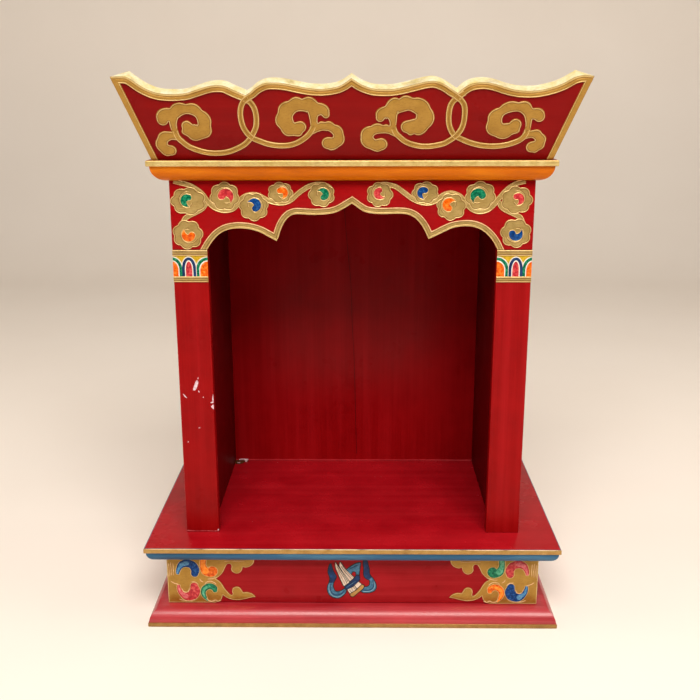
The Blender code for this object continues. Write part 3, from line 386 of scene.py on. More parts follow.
# The same red painted lighter and pinker on the plinth's round and top, as painted sheen
PLINTH_SHEEN_RED = brushed_lacquer("lacquer_plinth_painted_sheen", "961620", "AE242C", "C44A52", LEVEL, 0.44, True, 0.46)
# Rosy glossy top of the shelf with long strokes
SHELF_RED = brushed_lacquer("lacquer_shelf", "8E0812", "A40F1A", "B8222A", LEVEL, 0.22, True, 0.14, 0.16)
# Blood red of the niche's back, streaked up and down
NICHE_RED = brushed_lacquer("lacquer_niche", "88040A", "9A080E", "A8141A", UPRIGHT, 0.3, False, 0.07)
# The niche's red painted darker on the inner faces of its walls, as painted shade
WALL_SHADE_RED = brushed_lacquer("lacquer_niche_walls_painted_shade", "540306", "640508", "740C10", UPRIGHT, 0.34, False, 0.05)
# Satin gold of the scrolls
SCROLL_GOLD = gold_paint("gold_scrolls", "845E18", "9E7426", "B08636")
# Greener, lighter gold of the flowers, vine and arch border
FLOWER_GOLD = gold_paint("gold_flowers", "84682C", "A28648", "BA9E60")
# The raised line piped round every gold shape, in a lighter gold as painted highlight
PIPED_GOLD_HIGHLIGHT = gold_paint("gold_piping_painted_highlight", "B08A48", "CAAA68", "DCC288")
# Thin dark brown line laid in the grooves and beside the piped lines as painted shade
BROWN_SHADE_LINE = hand_paint("brown_line_painted_shade", "5E3A12", "74501E", "8A6028", 0.45)
# Bright gold along the shelf's front edge: painted highlight of the glare on its arris
EDGE_GLARE_GOLD = gold_paint("gold_edge_painted_glare", "D0A460", "F0D294", "FFE8B8", 0.0, 0.2)
# Pale, almost cream gold on the top edges: lighter than the face gold as painted highlight from above,
# with near-white patches of painted glare, and brown in places
PALE_GOLD_HIGHLIGHT = gold_paint("gold_pale_edge_painted_highlight", "C8AE58", "E6D48A", "FBF4D8", 0.4, 0.2)
# Gold of the flat fillets and bars
FILLET_GOLD = gold_paint("gold_fillets", "805C22", "A27838", "BE9656", 0.5)
# The plinth's lower edge, soiled brown from handling
PLINTH_GOLD = gold_paint("gold_plinth_edge", "6A4A1C", "8C662E", "AC8446", 0.7)
# Paler gold on the roof's fillet
ROOF_GOLD = gold_paint("gold_roof_fillet", "9C7C3C", "C2A45C", "DAC484", 0.4, 0.35)
# Pale cream line as painted highlight: along the upper edge of the arch border and on the base panels'
# strokes
CREAM_HIGHLIGHT_LINE = hand_paint("cream_line_painted_highlight", "BC8E62", "D4AC7C", "E6C89C", 0.35)
# Deep orange of the roof's round, brushed along it
ORANGE = hand_paint("orange_round", "A84E00", "CC6800", "DC7C06", 0.26, 60.0, (0.2, 1.0, 1.0), 0.13)
# Slate blue of the shelf's round, brushed along it
BLUE = hand_paint("blue_round", "205070", "2E6288", "4A7E9E", 0.3, 60.0, (0.2, 1.0, 1.0), 0.2)
# Enamel-like colours of jewels and drops, mottled by a full brush
ENAMELS = {
    "green": hand_paint("enamel_green", "00402E", "006A4A", "2E9C70", 0.2, 420.0),
    "rose": hand_paint("enamel_rose", "8C1C26", "BC3238", "DA6E60", 0.2, 420.0),
    "blue": hand_paint("enamel_blue", "052654", "083C7C", "2E6AA4", 0.2, 420.0, shine=0.18),
    "orange": hand_paint("enamel_orange", "B83A02", "E06408", "FA9A38", 0.2, 420.0),
}
# Lighter tints along one flank of the drops, in the same order
TINTS = [
    hand_paint("tint_green", "1C7C58", "4A9E78", "7CBC9C", 0.2, 420.0),
    hand_paint("tint_rose", "C04850", "D0666A", "E48E88", 0.2, 420.0),
    hand_paint("tint_blue", "2C6494", "4A86B2", "74A4C4", 0.2, 420.0),
    hand_paint("tint_orange", "EA7410", "F88A20", "FFA84C", 0.2, 420.0),
]
# Off-white lines round the petals
WHITE = hand_paint("white_line", "C8C2B6", "DCD6CC", "ECE8E0", 0.35)
# Mustard yellow left between the petals' heads
YELLOW = hand_paint("yellow_ground", "A08010", "C49E18", "D6B43C", 0.35, 420.0)
# Dark blue of the middle petal's edge and of the emblem's band and ribbon tops
NAVY = hand_paint("navy_line", "08183C", "0E2C58", "1E4676", 0.3)
# Greyish blue of the ribbon's turned ends
STEEL_BLUE = hand_paint("steel_blue_ribbon", "28546E", "3E6E8C", "7098AA", 0.3, 420.0)
# Pinkish cream of the horns
HORN_WHITE = hand_paint("horn_white", "C8AE98", "DCC8B4", "EADCCC", 0.35, 420.0)
# Thin brown lines in the horns
HORN_LINE = hand_paint("horn_line", "8A6858", "9C7A68", "AE8E7C", 0.4)
# Pale line along the outer edge of the ribbons
PALE_BLUE = hand_paint("pale_blue_line", "6E9EB0", "86B2C0", "A0C4CE", 0.35)
# Black outline brushed round every part of the emblem
INK = hand_paint("black_line", "0A0708", "14100F", "241C1A", 0.35)
# Unpainted brown board at the back of the base
BARE_WOOD = stained_wood("stained_back_board")
# White ground showing where the lacquer has chipped off
CHIP_GROUND = hand_paint("chipped_ground", "B98A9A", "D9BEC6", "F0E6E8", 0.6, 500.0)
# Paler lacquer in a thin strip along the foot of the left post, as painted highlight
POST_FOOT_HIGHLIGHT = hand_paint("pale_lacquer_painted_highlight", "9A3038", "B85058", "D88888", 0.35, 500.0)
# Dried brown glue in the corner
OLD_GLUE = hand_paint("old_glue", "2A1408", "4A2810", "8C5A28", 0.35, 500.0)
# Nearly black lacquer that has sunk into the joint of the back panel
JOINT_RED = brushed_lacquer("lacquer_in_joint", "3A0408", "520609", "6A0A10", UPRIGHT, 0.4, False)
# Lighter lacquer on the bead of glue along the back of the floor
GLUE_RED = brushed_lacquer("lacquer_on_glue", "8E1018", "B0222A", "C8484C", LEVEL, 0.3, False)


def face_at(x, y, z, lean=0.0, turn=0.0):
    """The frame of a board's face at a point in millimetres: across, up along it and out of it."""
    spin = Matrix.Rotation(turn, 4, "Z") @ Matrix.Rotation(math.pi / 2 + lean, 4, "X")
    return Matrix.Translation((x * MM, y * MM, z * MM)) @ spin @ Matrix.Scale(MM, 4)


def smooth(points, step=LINE_STEP):
    """Points along a smooth curve through the given ones; further columns, such as widths, follow."""
    knots = np.array(points, dtype=float)
    chords = np.linalg.norm(np.diff(knots[:, :2], axis=0), axis=1)
    times = np.concatenate(([0.0], np.cumsum(np.sqrt(chords))))
    slopes = np.empty_like(knots)
    slopes[1:-1] = (knots[2:] - knots[:-2]) / (times[2:] - times[:-2])[:, None]
    slopes[0] = (knots[1] - knots[0]) / (times[1] - times[0])
    slopes[-1] = (knots[-1] - knots[-2]) / (times[-1] - times[-2])
    line = [knots[0]]
    for i, chord in enumerate(chords):
        span = times[i + 1] - times[i]
        pieces = max(1, math.ceil(chord / step))
        for s in np.arange(1, pieces + 1) / pieces:
            line.append(
                (2 * s**3 - 3 * s**2 + 1) * knots[i]
                + (s**3 - 2 * s**2 + s) * span * slopes[i]
                + (3 * s**2 - 2 * s**3) * knots[i + 1]
                + (s**3 - s**2) * span * slopes[i + 1]
            )
    return np.array(line)


def smooth_ring(points, corners=(), step=LINE_STEP):
    """A closed smooth outline that keeps the numbered points sharp."""
    ring = []
    if corners:
        for a, b in zip(corners, (*corners[1:], corners[0] + len(points))):
            ring += list(smooth([points[k % len(points)] for k in range(a, b + 1)], step)[:-1])
        return np.array(ring)
    wrapped = np.array([*points[-2:], *points, *points[:3]], dtype=float)
    pieces = [max(1, math.ceil(chord / step)) for chord in np.linalg.norm(np.diff(wrapped, axis=0), axis=1)]
    return smooth(wrapped, step)[sum(pieces[:2]):sum(pieces[:2 + len(points)])]


def across(line):
    """Unit vectors pointing left of a line at each of its points."""
    run = np.gradient(line[:, :2], axis=0)
    run /= np.linalg.norm(run, axis=1)[:, None]
    return np.column_stack((-run[:, 1], run[:, 0]))


def band(path, lobe_depth=0.0, plain_rows=0, round_end=False, step=LINE_STEP):
    """Outline of a band along a path of (x, y, half width), lobed on the outer side of its curl."""
    line = smooth(np.column_stack((path, np.arange(len(path)))), step)
    middle, half, row = line[:, :2], line[:, 2], line[:, 3]
    left = across(line)
    turning = np.sum(left[:-1, 0] * left[1:, 1] - left[:-1, 1] * left[1:, 0])
    bulge = np.where(row > plain_rows, lobe_depth * (np.abs(np.sin(math.pi * row)) ** 0.7 - 0.2), 0.0)
    left_half = half + (bulge if turning < 0 else 0.0)
    right_half = half + (bulge if turning > 0 else 0.0)
    left_side = middle + left * left_half[:, None]
    right_side = middle - left * right_half[:, None]
    cap = []
    if round_end:
        start = math.atan2(-left[-1, 1], -left[-1, 0])
        steps = 14
        for k in range(1, steps):
            angle = start + math.pi * k / steps
            cap.append(middle[-1] + half[-1] * np.array((math.cos(angle), math.sin(angle))))
    return np.array([*right_side, *cap, *left_side[::-1]])


def oval(x, y, half_width, half_height, lobes=0, depth=0.0, turn=0.0, count=40):
    """Outline of an oval, or of a flower with round lobes."""
    angles = np.arange(count) * 2 * math.pi / count
    reach = 1 - depth + 2 * depth * np.abs(np.cos((angles - math.radians(turn)) * lobes / 2))
    across_middle, up_middle = half_width * reach * np.cos(angles), half_height * reach * np.sin(angles)
    return np.column_stack((x + across_middle, y + up_middle))


def jewel(x, y, radius, turn, hand):
    """Outline of a comma-shaped drop that curls round a bite in the turned direction."""
    rows = []
    for away, distance, half in COMMA:
        angle = math.radians(turn + hand * away)
        rows.append((x + distance * radius * math.cos(angle), y + distance * radius * math.sin(angle),
                     half * radius))
    return band(rows, round_end=True, step=0.4)


def counter_clockwise(outline):
    """The outline with its inside on the left."""
    outline = np.array(outline, dtype=float)[:, :2]
    x, y = outline[:, 0], outline[:, 1]
    area = np.sum(x * np.roll(y, -1) - np.roll(x, -1) * y)
    return outline if area > 0 else outline[::-1]


def inside(points, outline):
    """Which points an outline runs round counter-clockwise."""
    turns = np.zeros(len(points), dtype=int)
    for (ax, ay), (bx, by) in zip(outline, np.roll(outline, -1, axis=0)):
        side = (bx - ax) * (points[:, 1] - ay) - (by - ay) * (points[:, 0] - ax)
        turns += (ay <= points[:, 1]) & (points[:, 1] < by) & (side > 0)
        turns -= (by <= points[:, 1]) & (points[:, 1] < ay) & (side < 0)
    return turns > 0


def drawn_in(outline, distance):
    """A closed counter-clockwise outline drawn in by a distance."""
    run = np.roll(outline, -1, axis=0) - np.roll(outline, 1, axis=0)
    run /= np.maximum(np.linalg.norm(run, axis=1), 1e-6)[:, None]
    return outline + distance * np.column_stack((-run[:, 1], run[:, 0]))


def lifted(outline, height):
    """A flat outline as points at one height."""
    return [(x, y, height) for x, y in outline]


def layers(outline, steps):
    """The outline at each step, (distance drawn in, height)."""
    return [lifted(drawn_in(outline, inset), height) for inset, height in steps]


def turned_out(shape):
    """A closed shape with its faces turned outwards."""
    bmesh.ops.recalc_face_normals(shape, faces=shape.faces[:])
    if shape.calc_volume(signed=True) < 0:
        bmesh.ops.reverse_faces(shape, faces=shape.faces[:])
    return shape


def swept(rows, slots=None, slot=0):
    """A body through rows of points: one face of the first row, extruded from row to row."""
    shape = bmesh.new()
    start = shape.faces.new([shape.verts.new(point) for point in rows[0]])
    rim = start.edges[:]
    end = start
    for row in rows[1:]:
        end = bmesh.ops.extrude_discrete_faces(shape, faces=[end])["faces"][0]
        for vert, point in zip(end.verts, row):
            vert.co = point
        for k, edge_slot in enumerate(slots or ()):
            edge = shape.edges.get((end.verts[k], end.verts[(k + 1) % len(end.verts)]))
            for face in (face for face in edge.link_faces if face is not end):
                face.material_index = edge_slot
    start = bmesh.ops.edgeloop_fill(shape, edges=rim)["faces"][0]
    for face in shape.faces:
        face.smooth = face not in (start, end)
        face.material_index = face.material_index if slots else slot
    return turned_out(shape)


def strip(line, profile, slots, lift=None, side=1, walls=(None, None)):
    """A moulded strip along a line; profile points are (left of the line, height).

    A wall is a point and a direction: the strip is carried up to it and cut there.
    """
    line = np.array(line)[:, :2]
    left = across(line)
    rises = np.zeros(len(line)) if lift is None else lift
    steps = list(zip(line, left, rises))
    if walls[0]:
        steps.insert(0, (line[0] - OVERRUN * np.array((left[0, 1], -left[0, 0])), left[0], rises[0]))
    if walls[1]:
        steps.append((line[-1] + OVERRUN * np.array((left[-1, 1], -left[-1, 0])), left[-1], rises[-1]))
    rows = []
    for place, out, rise in steps:
        row = []
        for a, height in profile:
            point = place + a * out
            along = np.array((out[1], -out[0]))
            for wall in (wall for wall in walls if wall):
                behind = min(0.0, np.dot(point - wall[0], wall[1]))
                point = point - along * behind / np.dot(along, wall[1])
            row.append((side * point[0], point[1], height + rise if height > 0 else height))
        rows.append(row)
    return swept(rows, slots)


def unit(vector):
    """A vector's direction."""
    return np.array(vector) / np.linalg.norm(vector)


def chain(lines, sections, first_wall, last_wall, side):
    """Moulded strips along lines that meet end to end, mitred there; sections are (profile, slots)."""
    walls = [first_wall]
    for before, after in zip(lines, lines[1:]):
        along = unit(unit(before[-1, :2] - before[-3, :2]) + unit(after[2, :2] - after[0, :2]))
        walls.append((after[0, :2], along))
    walls.append(last_wall)
    strips = []
    for k, (line, (profile, slots)) in enumerate(zip(lines, sections)):
        start, end = walls[k], walls[k + 1]
        end = end if k == len(lines) - 1 else (end[0], -end[1])
        strips.append(strip(line, profile, slots, None, side, (start, end)))
    return strips


def eased(loop):
    """A closed line with its sharpest turns rounded off."""
    for _ in range(3):
        loop = (np.roll(loop, 1, axis=0) + 2 * loop + np.roll(loop, -1, axis=0)) / 4
    return loop


def plate(outline, steps, slot=0, foot=FOOT):
    """Raised flat shape of a simple outline; steps are (distance drawn in, height)."""
    return swept(layers(counter_clockwise(outline), ((0.0, foot), *steps)), None, slot)


def union(outlines):
    """The triangles inside any of the outlines, their points, and the loops round them."""
    outlines = [counter_clockwise(outline) for outline in outlines]
    corners, lines = [], []
    for outline in outlines:
        first, count = len(corners), len(outline)
        corners += [Vector(point) for point in outline]
        lines += [(first + i, first + (i + 1) % count) for i in range(count)]
    points, _, triangles = delaunay_2d_cdt(corners, lines, [], 0, WELD)[:3]
    centres = np.array([np.mean([points[i] for i in triangle], axis=0) for triangle in triangles])
    covered = np.any([inside(centres, outline) for outline in outlines], axis=0)
    triangles = [triangle for triangle, kept in zip(triangles, covered) if kept]
    sides = {(t[k], t[(k + 1) % 3]) for t in triangles for k in range(3)}
    following = {}
    for a, b in sorted(sides):
        if (b, a) not in sides:
            following.setdefault(a, []).append(b)
    loops = []
    while following:
        start = next(iter(following))
        loop, here = [], start
        while here in following:
            loop.append(here)
            after = following[here].pop()
            if not following[here]:
                del following[here]
            here = after
            if here == start:
                break
        if len(loop) > 6:
            loops.append(np.array([points[i] for i in loop]))
    return points, triangles, loops


def raised(points, triangles, steps, slot=0):
    """Raised shape of joined outlines, its rim rounded; steps are (drawn in further, rise)."""
    shape = bmesh.new()
    corners = [shape.verts.new((p[0], p[1], FOOT)) for p in points]
    under = [shape.faces.new([corners[i] for i in triangle]) for triangle in triangles]
    loose = [vert for vert in shape.verts if not vert.link_faces]
    bmesh.ops.delete(shape, geom=loose, context="VERTS")
    moved = bmesh.ops.extrude_face_region(shape, geom=under)["geom"]
    tops = [item for item in moved if isinstance(item, bmesh.types.BMFace)]
    for thickness, rise in steps:
        if thickness:
            bmesh.ops.inset_region(shape, faces=tops, thickness=thickness, use_boundary=True)
        verts = list({vert for face in tops for vert in face.verts})
        bmesh.ops.translate(shape, verts=verts, vec=(0.0, 0.0, rise))
    flat = {*under, *tops}
    for face in shape.faces:
        face.smooth = face not in flat
        face.material_index = slot
    return turned_out(shape)


def outside_runs(ring, covers):
    """The stretches of a closed line outside all covers; one that is never covered stays whole."""
    hidden = np.any([inside(ring, cover) for cover in covers], axis=0)
    if not hidden.any():
        return [(ring, True)]
    first = int(np.argmax(hidden))
    ring, hidden = np.roll(ring, -first, axis=0), np.roll(hidden, -first)
    runs, current = [], []
    for point, is_hidden in (*zip(ring, hidden), (None, True)):
        if not is_hidden:
            current.append(point)
            continue
        if len(current) > 3:
            runs.append((np.array(current), False))
        current = []
    return runs


def piping(runs, radius, height, slot=0):
    """Round lines of raised paint along runs of (points, closed), their open ends tapered."""
    lines = bpy.data.curves.new("piping", "CURVE")
    lines.dimensions = "3D"
    lines.bevel_depth = radius
    lines.bevel_resolution = 2
    lines.use_fill_caps = True
    for points, closed in runs:
        spline = lines.splines.new("POLY")
        spline.points.add(len(points) - 1)
        for k, (spot, place) in enumerate(zip(spline.points, points)):
            from_end = len(points) if closed else min(k, len(points) - 1 - k)
            spot.co = (place[0], place[1], height, 1.0)
            spot.radius = min(1.0, 0.35 + 0.35 * from_end)
        spline.use_cyclic_u = closed
    thing = bpy.data.objects.new("piping", lines)
    mesh = bpy.data.meshes.new_from_object(thing)
    shape = bmesh.new()
    shape.from_mesh(mesh)
    bpy.data.objects.remove(thing)
    bpy.data.curves.remove(lines)
    bpy.data.meshes.remove(mesh)
    for face in shape.faces:
        face.smooth = True
        face.material_index = slot
    return shape


def paint(shape, test, slot):
    """Give the faces whose centre and normal pass the test another finish."""
    shape.normal_update()
    for face in shape.faces:
        if test(face.calc_center_median(), face.normal):
            face.material_index = slot
    return shape


def linked(name, data):
    """A new object with this data, in the scene."""
    thing = bpy.data.objects.new(name, data)
    bpy.context.scene.collection.objects.link(thing)
    return thing


def piece(name, shapes, place, finishes, slot, *nodes):
    """One object of several shapes, in its place, riding on the altar and standing for CAD nodes."""
    whole = bmesh.new()
    for shape in shapes:
        mesh = bpy.data.meshes.new("shape")
        shape.to_mesh(mesh)
        shape.free()
        whole.from_mesh(mesh)
        bpy.data.meshes.remove(mesh)
    mesh = bpy.data.meshes.new(name)
    whole.to_mesh(mesh)
    whole.free()
    mesh.transform(place)
    for finish in finishes:
        mesh.materials.append(finish)
    mesh.set_sharp_from_angle(angle=SHARP_ANGLE)
    thing = linked(name, mesh)
    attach(thing, "root")
    if nodes:
        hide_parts(*nodes)


def reach(node):
    """A CAD node's lowest and highest corner in millimetres."""
    return [np.array(corner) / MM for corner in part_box(node)]


def front_face(node):
    """The frame of an upright board's plain face, from the middle of its foot."""
    low, high = reach(node)
    return face_at((low[0] + high[0]) / 2, low[1] + RELIEF_DEPTH, low[2])


# The altar's own frame, for shapes that are already in millimetres from its origin
WHOLE = Matrix.Scale(MM, 4)


def moulded_board(name, node, fillet, upside_down, finishes):
    """A board with a fillet and a quarter-round on three sides; finishes are body, fillet, round, top."""
    low, high = reach(node)
    fillet_height, step = fillet
    thickness = high[2] - low[2]
    radius = thickness - fillet_height
    profile = [(0.9, 0.0), (0.42, 0.1), (0.13, 0.4), (0.0, 0.9), (0.0, fillet_height - 0.8),
               (0.12, fillet_height - 0.36), (0.38, fillet_height - 0.09), (0.7, fillet_height),
               (step, fillet_height)]
    for k in range(ROUND_STEPS + 1):
        angle = 0.5 * math.pi * k / ROUND_STEPS
        profile.append((step + radius * (1 - math.cos(angle)), fillet_height + radius * math.sin(angle)))
    rows = []
    for inset, height in profile:
        z = high[2] - height if upside_down else low[2] + height
        left, right, front, back = low[0] + inset, high[0] - inset, low[1] + inset, high[1] - min(inset, 0.4)
        rows.append([(left, front, z), (right, front, z), (right, back, z), (left, back, z)])
    shape = swept(rows)
    fillet_top = high[2] - fillet_height if upside_down else low[2] + fillet_height
    sign = -1 if upside_down else 1
    paint(shape, lambda c, n: n.y < 0.9 and abs(n.z) < 0.999, 2)
    paint(shape, lambda c, n: n.y < 0.9 and sign * (c.z - fillet_top) < 0.02 and abs(n.z) < 0.95, 1)
    paint(shape, lambda c, n: abs(c.z - fillet_top) < 0.02 and n.y < 0.9, 1)
    paint(shape, lambda c, n: n.z > 0.999 and c.z > high[2] - 0.1, 3)
    piece(name, [shape], WHOLE, finishes, "red_lacquer", node)


def plain_board(name, node, finishes, slot, rounding=0.5):
    """A sawn board with its arrises sanded round; a second finish is for the side away from the niche."""
    low, high = reach(node)
    shape = bmesh.new()
    bmesh.ops.create_cube(shape, size=1.0)
    bmesh.ops.scale(shape, verts=shape.verts[:], vec=high - low)
    bmesh.ops.translate(shape, verts=shape.verts[:], vec=(low + high) / 2)
    bmesh.ops.bevel(shape, geom=shape.edges[:], offset=rounding, segments=3, profile=0.5, affect="EDGES",
                    material=-1)
    for face in shape.faces:
        face.smooth = face.calc_area() < 60 * rounding
    if len(finishes) > 1:
        outward = np.sign(low[0] + high[0])
        paint(shape, lambda c, n: outward * n.x > 0.3, 1)
    piece(name, [shape], WHOLE, finishes, slot, node)


# Sections of the painted relief, as (distance across, height), with the finish of each stretch:
# 0 gold, 1 piped line in lighter gold as painted highlight, 2 brown line as painted shade,
# 3 cream line as painted highlight
RIBBON_SECTION = ((-2.2, -0.3), (-2.2, 0.5), (-2.08, 0.8), (-1.85, 0.95), (-1.62, 0.95), (-1.42, 0.8),
                  (-1.28, 0.72), (-0.35, 0.72), (-0.2, 0.6), (0.2, 0.6), (0.35, 0.72), (1.28, 0.72),
                  (1.42, 0.8), (1.62, 0.95), (1.85, 0.95), (2.08, 0.8), (2.2, 0.5), (2.2, -0.3))
RIBBON_SLOTS = (0, 0, 1, 1, 1, 0, 0, 0, 2, 0, 0, 0, 1, 1, 1, 0, 0, 0)
VINE_SECTION = ((-2.1, -0.3), (-2.1, 0.45), (-1.95, 0.74), (-1.75, 0.88), (-1.5, 0.86), (-1.25, 0.66),
                (-1.0, 0.66), (-0.8, 0.8), (-0.4, 0.84), (0.4, 0.84), (0.8, 0.8), (1.0, 0.66), (1.25, 0.66),
                (1.5, 0.86), (1.75, 0.88), (1.95, 0.74), (2.1, 0.45), (2.1, -0.3))
VINE_SLOTS = (0, 0, 1, 1, 1, 2, 0, 0, 0, 0, 0, 2, 1, 1, 1, 0, 0, 0)
EDGE_SECTION = ((0.0, -0.3), (0.0, 0.5), (0.15, 0.75), (0.45, 0.86), (0.9, 0.86), (1.5, 0.76), (1.62, 0.64),
                (1.9, 0.64), (2.05, 0.78), (3.7, 0.78), (3.8, 0.68), (4.0, 0.68), (4.12, 0.84), (4.3, 0.96),
                (4.6, 0.96), (4.86, 0.8), (5.0, 0.5), (5.0, -0.3))
EDGE_SLOTS = (0, 1, 1, 1, 0, 2, 2, 0, 0, 0, 2, 0, 1, 1, 1, 0, 0, 0)
END_SECTION = ((0.0, -0.3), (0.0, 0.5), (0.15, 0.75), (0.45, 0.84), (2.4, 0.86), (4.0, 0.84), (4.12, 0.78),
               (4.24, 0.9), (4.44, 0.94), (4.7, 0.84), (5.0, 0.5), (5.0, -0.3))
END_SLOTS = (0, 0, 0, 0, 0, 2, 0, 1, 1, 0, 0, 0)
# The arch border: brown lines of painted shade, and the cream of painted highlight along its upper edge
ARCH_SECTION = tuple((-a, h) for a, h in EDGE_SECTION)
ARCH_SLOTS = (0, 1, 1, 1, 0, 0, 2, 0, 0, 2, 2, 2, 3, 3, 3, 3, 0, 0)

GILDING = [SCROLL_GOLD, PIPED_GOLD_HIGHLIGHT, BROWN_SHADE_LINE, CREAM_HIGHLIGHT_LINE]
FLOWER_GILDING = [FLOWER_GOLD, PIPED_GOLD_HIGHLIGHT, BROWN_SHADE_LINE, CREAM_HIGHLIGHT_LINE]
PLATE_STEPS = ((0.0, 0.75), (0.14, 0.24), (0.24, 0.13))
JEWEL_STEPS = ((0.0, 1.2), (0.25, 0.14), (0.35, 0.1))
# Where the two halves of a border meet, as a point and the direction into the half
MIDDLE_WALL = (np.array((0.0, 0.0)), np.array((1.0, 0.0)))
# A cornice board's sanded front arris
ARRIS_STEPS = ((0.0, -0.55), (0.15, -0.14), (0.5, 0.0))
# Thickness of the cornice boards, half width of the front one at its foot, and the length that the top
# edge of the side boards is drawn for
CORNICE_BOARD = 11.4
CORNICE_FOOT = 158.5
SIDE_DRAWN = 188.1
# The cornice stands back from the roof's edge, over a thin joint, with as thin a gap at its mitres
SET_BACK = 4.1
JOINT = 0.3
ROOF_LOW, ROOF_HIGH = reach("roof_board")
CORNICE_FRONT = ROOF_LOW[1] + SET_BACK
CORNICE_FACE = face_at(0.0, CORNICE_FRONT, ROOF_HIGH[2] + JOINT, LEAN)


def cornice_edge(side):
    """The cornice's top edge in two stretches from the corner to the middle, unmirrored."""
    outer, inner = (smooth(stretch)[:, :2] for stretch in TOP_EDGE[side])
    corner = CORNICE_FOOT + outer[0, 1] * math.sin(LEAN)
    outer[:, 0] += (corner - outer[0, 0]) * np.linspace(1.0, 0.0, len(outer))
    return outer, inner


def make_cornice_board():
    """The leaning front board: wavy top edge in pale gold, mitred ends, flat back."""
    (left_outer, left_inner), (right_outer, right_inner) = cornice_edge(-1), cornice_edge(1)
    top = [*(left_outer * (-1, 1)), *(left_inner[1:] * (-1, 1))]
    top += [*right_inner[::-1][1:], *right_outer[::-1][1:]]
    outline = counter_clockwise([*top, (CORNICE_FOOT, 0.0), (-CORNICE_FOOT, 0.0)])
    rise, lean = math.sin(LEAN), math.cos(LEAN)
    back = []
    for x, y in outline:
        back_y = y if y > 0.3 else -CORNICE_BOARD * math.tan(LEAN)
        front_end = CORNICE_FOOT + y * rise
        back_end = CORNICE_FOOT + back_y * rise - CORNICE_BOARD * lean
        straight = back_end - 3.0
        reached = abs(x)
        if reached > straight:
            reached = straight + (reached - straight) * (back_end - straight) / (front_end - straight)
        back.append((math.copysign(reached, x), back_y, -CORNICE_BOARD))
    shape = swept([back, *layers(outline, ARRIS_STEPS)])
    # The top edge faces take the pale gold of painted highlight
    paint(shape, lambda c, n: c.y > 45 and abs(n.z) < 0.93, 1)
    piece("cornice_front_board", [shape], CORNICE_FACE, [CORNICE_RED, PALE_GOLD_HIGHLIGHT], "red_lacquer",
          "cornice_front")


def bump_at(line, centre, width, height):
    """A smooth rise of a line where it passes a point."""
    away = np.linalg.norm(line[:, :2] - np.array(centre), axis=1)
    return height * np.exp(-(away / width) ** 2)


def sink_end(line, length, depth):
    """A smooth sinking of a line's last stretch into what it ends in."""
    run = np.concatenate(([0.0], np.cumsum(np.linalg.norm(np.diff(line[:, :2], axis=0), axis=1))))
    left = np.clip((run[-1] - run) / length, 0.0, 1.0)
    return -depth * (1 - left) ** 2


def make_cornice_gilding():
    """The gilt border, ribbons and cloud scrolls of the front board."""
    shapes = []
    for side in (-1, 1):
        outer, inner = cornice_edge(side)
        foot, corner = np.array((CORNICE_FOOT, 0.0)), outer[0]
        end = foot + np.linspace(0.0, 1.0, 60)[:, None] * (corner - foot)
        floor_wall = (np.array((0.0, 0.35)), np.array((0.0, 1.0)))
        sections = [(END_SECTION, END_SLOTS), (EDGE_SECTION, EDGE_SLOTS), (EDGE_SECTION, EDGE_SLOTS)]
        shapes += chain([end, outer, inner], sections, floor_wall, MIDDLE_WALL, side)
        knot = (inner[0] - (0.0, 3.6)) * (side, 1)
        shapes.append(plate(oval(*knot, KNOT_RADIUS, KNOT_RADIUS), ((0.0, 0.45), (0.15, 0.7), (0.4, 0.8))))
        covers = []
        for number, path in enumerate(RIBBONS[side]):
            line = smooth(path)
            lift = sink_end(line, 5.0, 0.45)
            if number == 0:
                lift += bump_at(line, path[1], 4.5, 0.32) + bump_at(line, path[7], 4.5, 0.32)
            shapes.append(strip(line, RIBBON_SECTION, RIBBON_SLOTS, lift, side))
            covers.append(counter_clockwise(band([(x, y, 1.75) for x, y in path]) * (side, 1)))
        for spot in ("outer", "inner"):
            head, curl, lobe = SCROLLS[side, spot]
            drawn = [band(head, HEAD_LOBE_DEPTH, HEAD_PLAIN_ROWS, True),
                     band(curl, CURL_LOBE_DEPTH, CURL_PLAIN_ROWS, True), band(lobe, round_end=True)]
            points, triangles, loops = union([outline * (side, 1) for outline in drawn])
            shapes.append(raised(points, triangles, PLATE_STEPS))
            for loop in loops:
                for inset, radius, height, slot in ((PIPE_INSET, 0.38, 0.6, 1), (LINE_INSET, 0.19, 0.74, 2)):
                    runs = outside_runs(eased(drawn_in(loop, inset)), covers)
                    shapes.append(piping(runs, radius, height, slot))
    piece("cornice_gilding", shapes, CORNICE_FACE, GILDING, "gilt_paint")


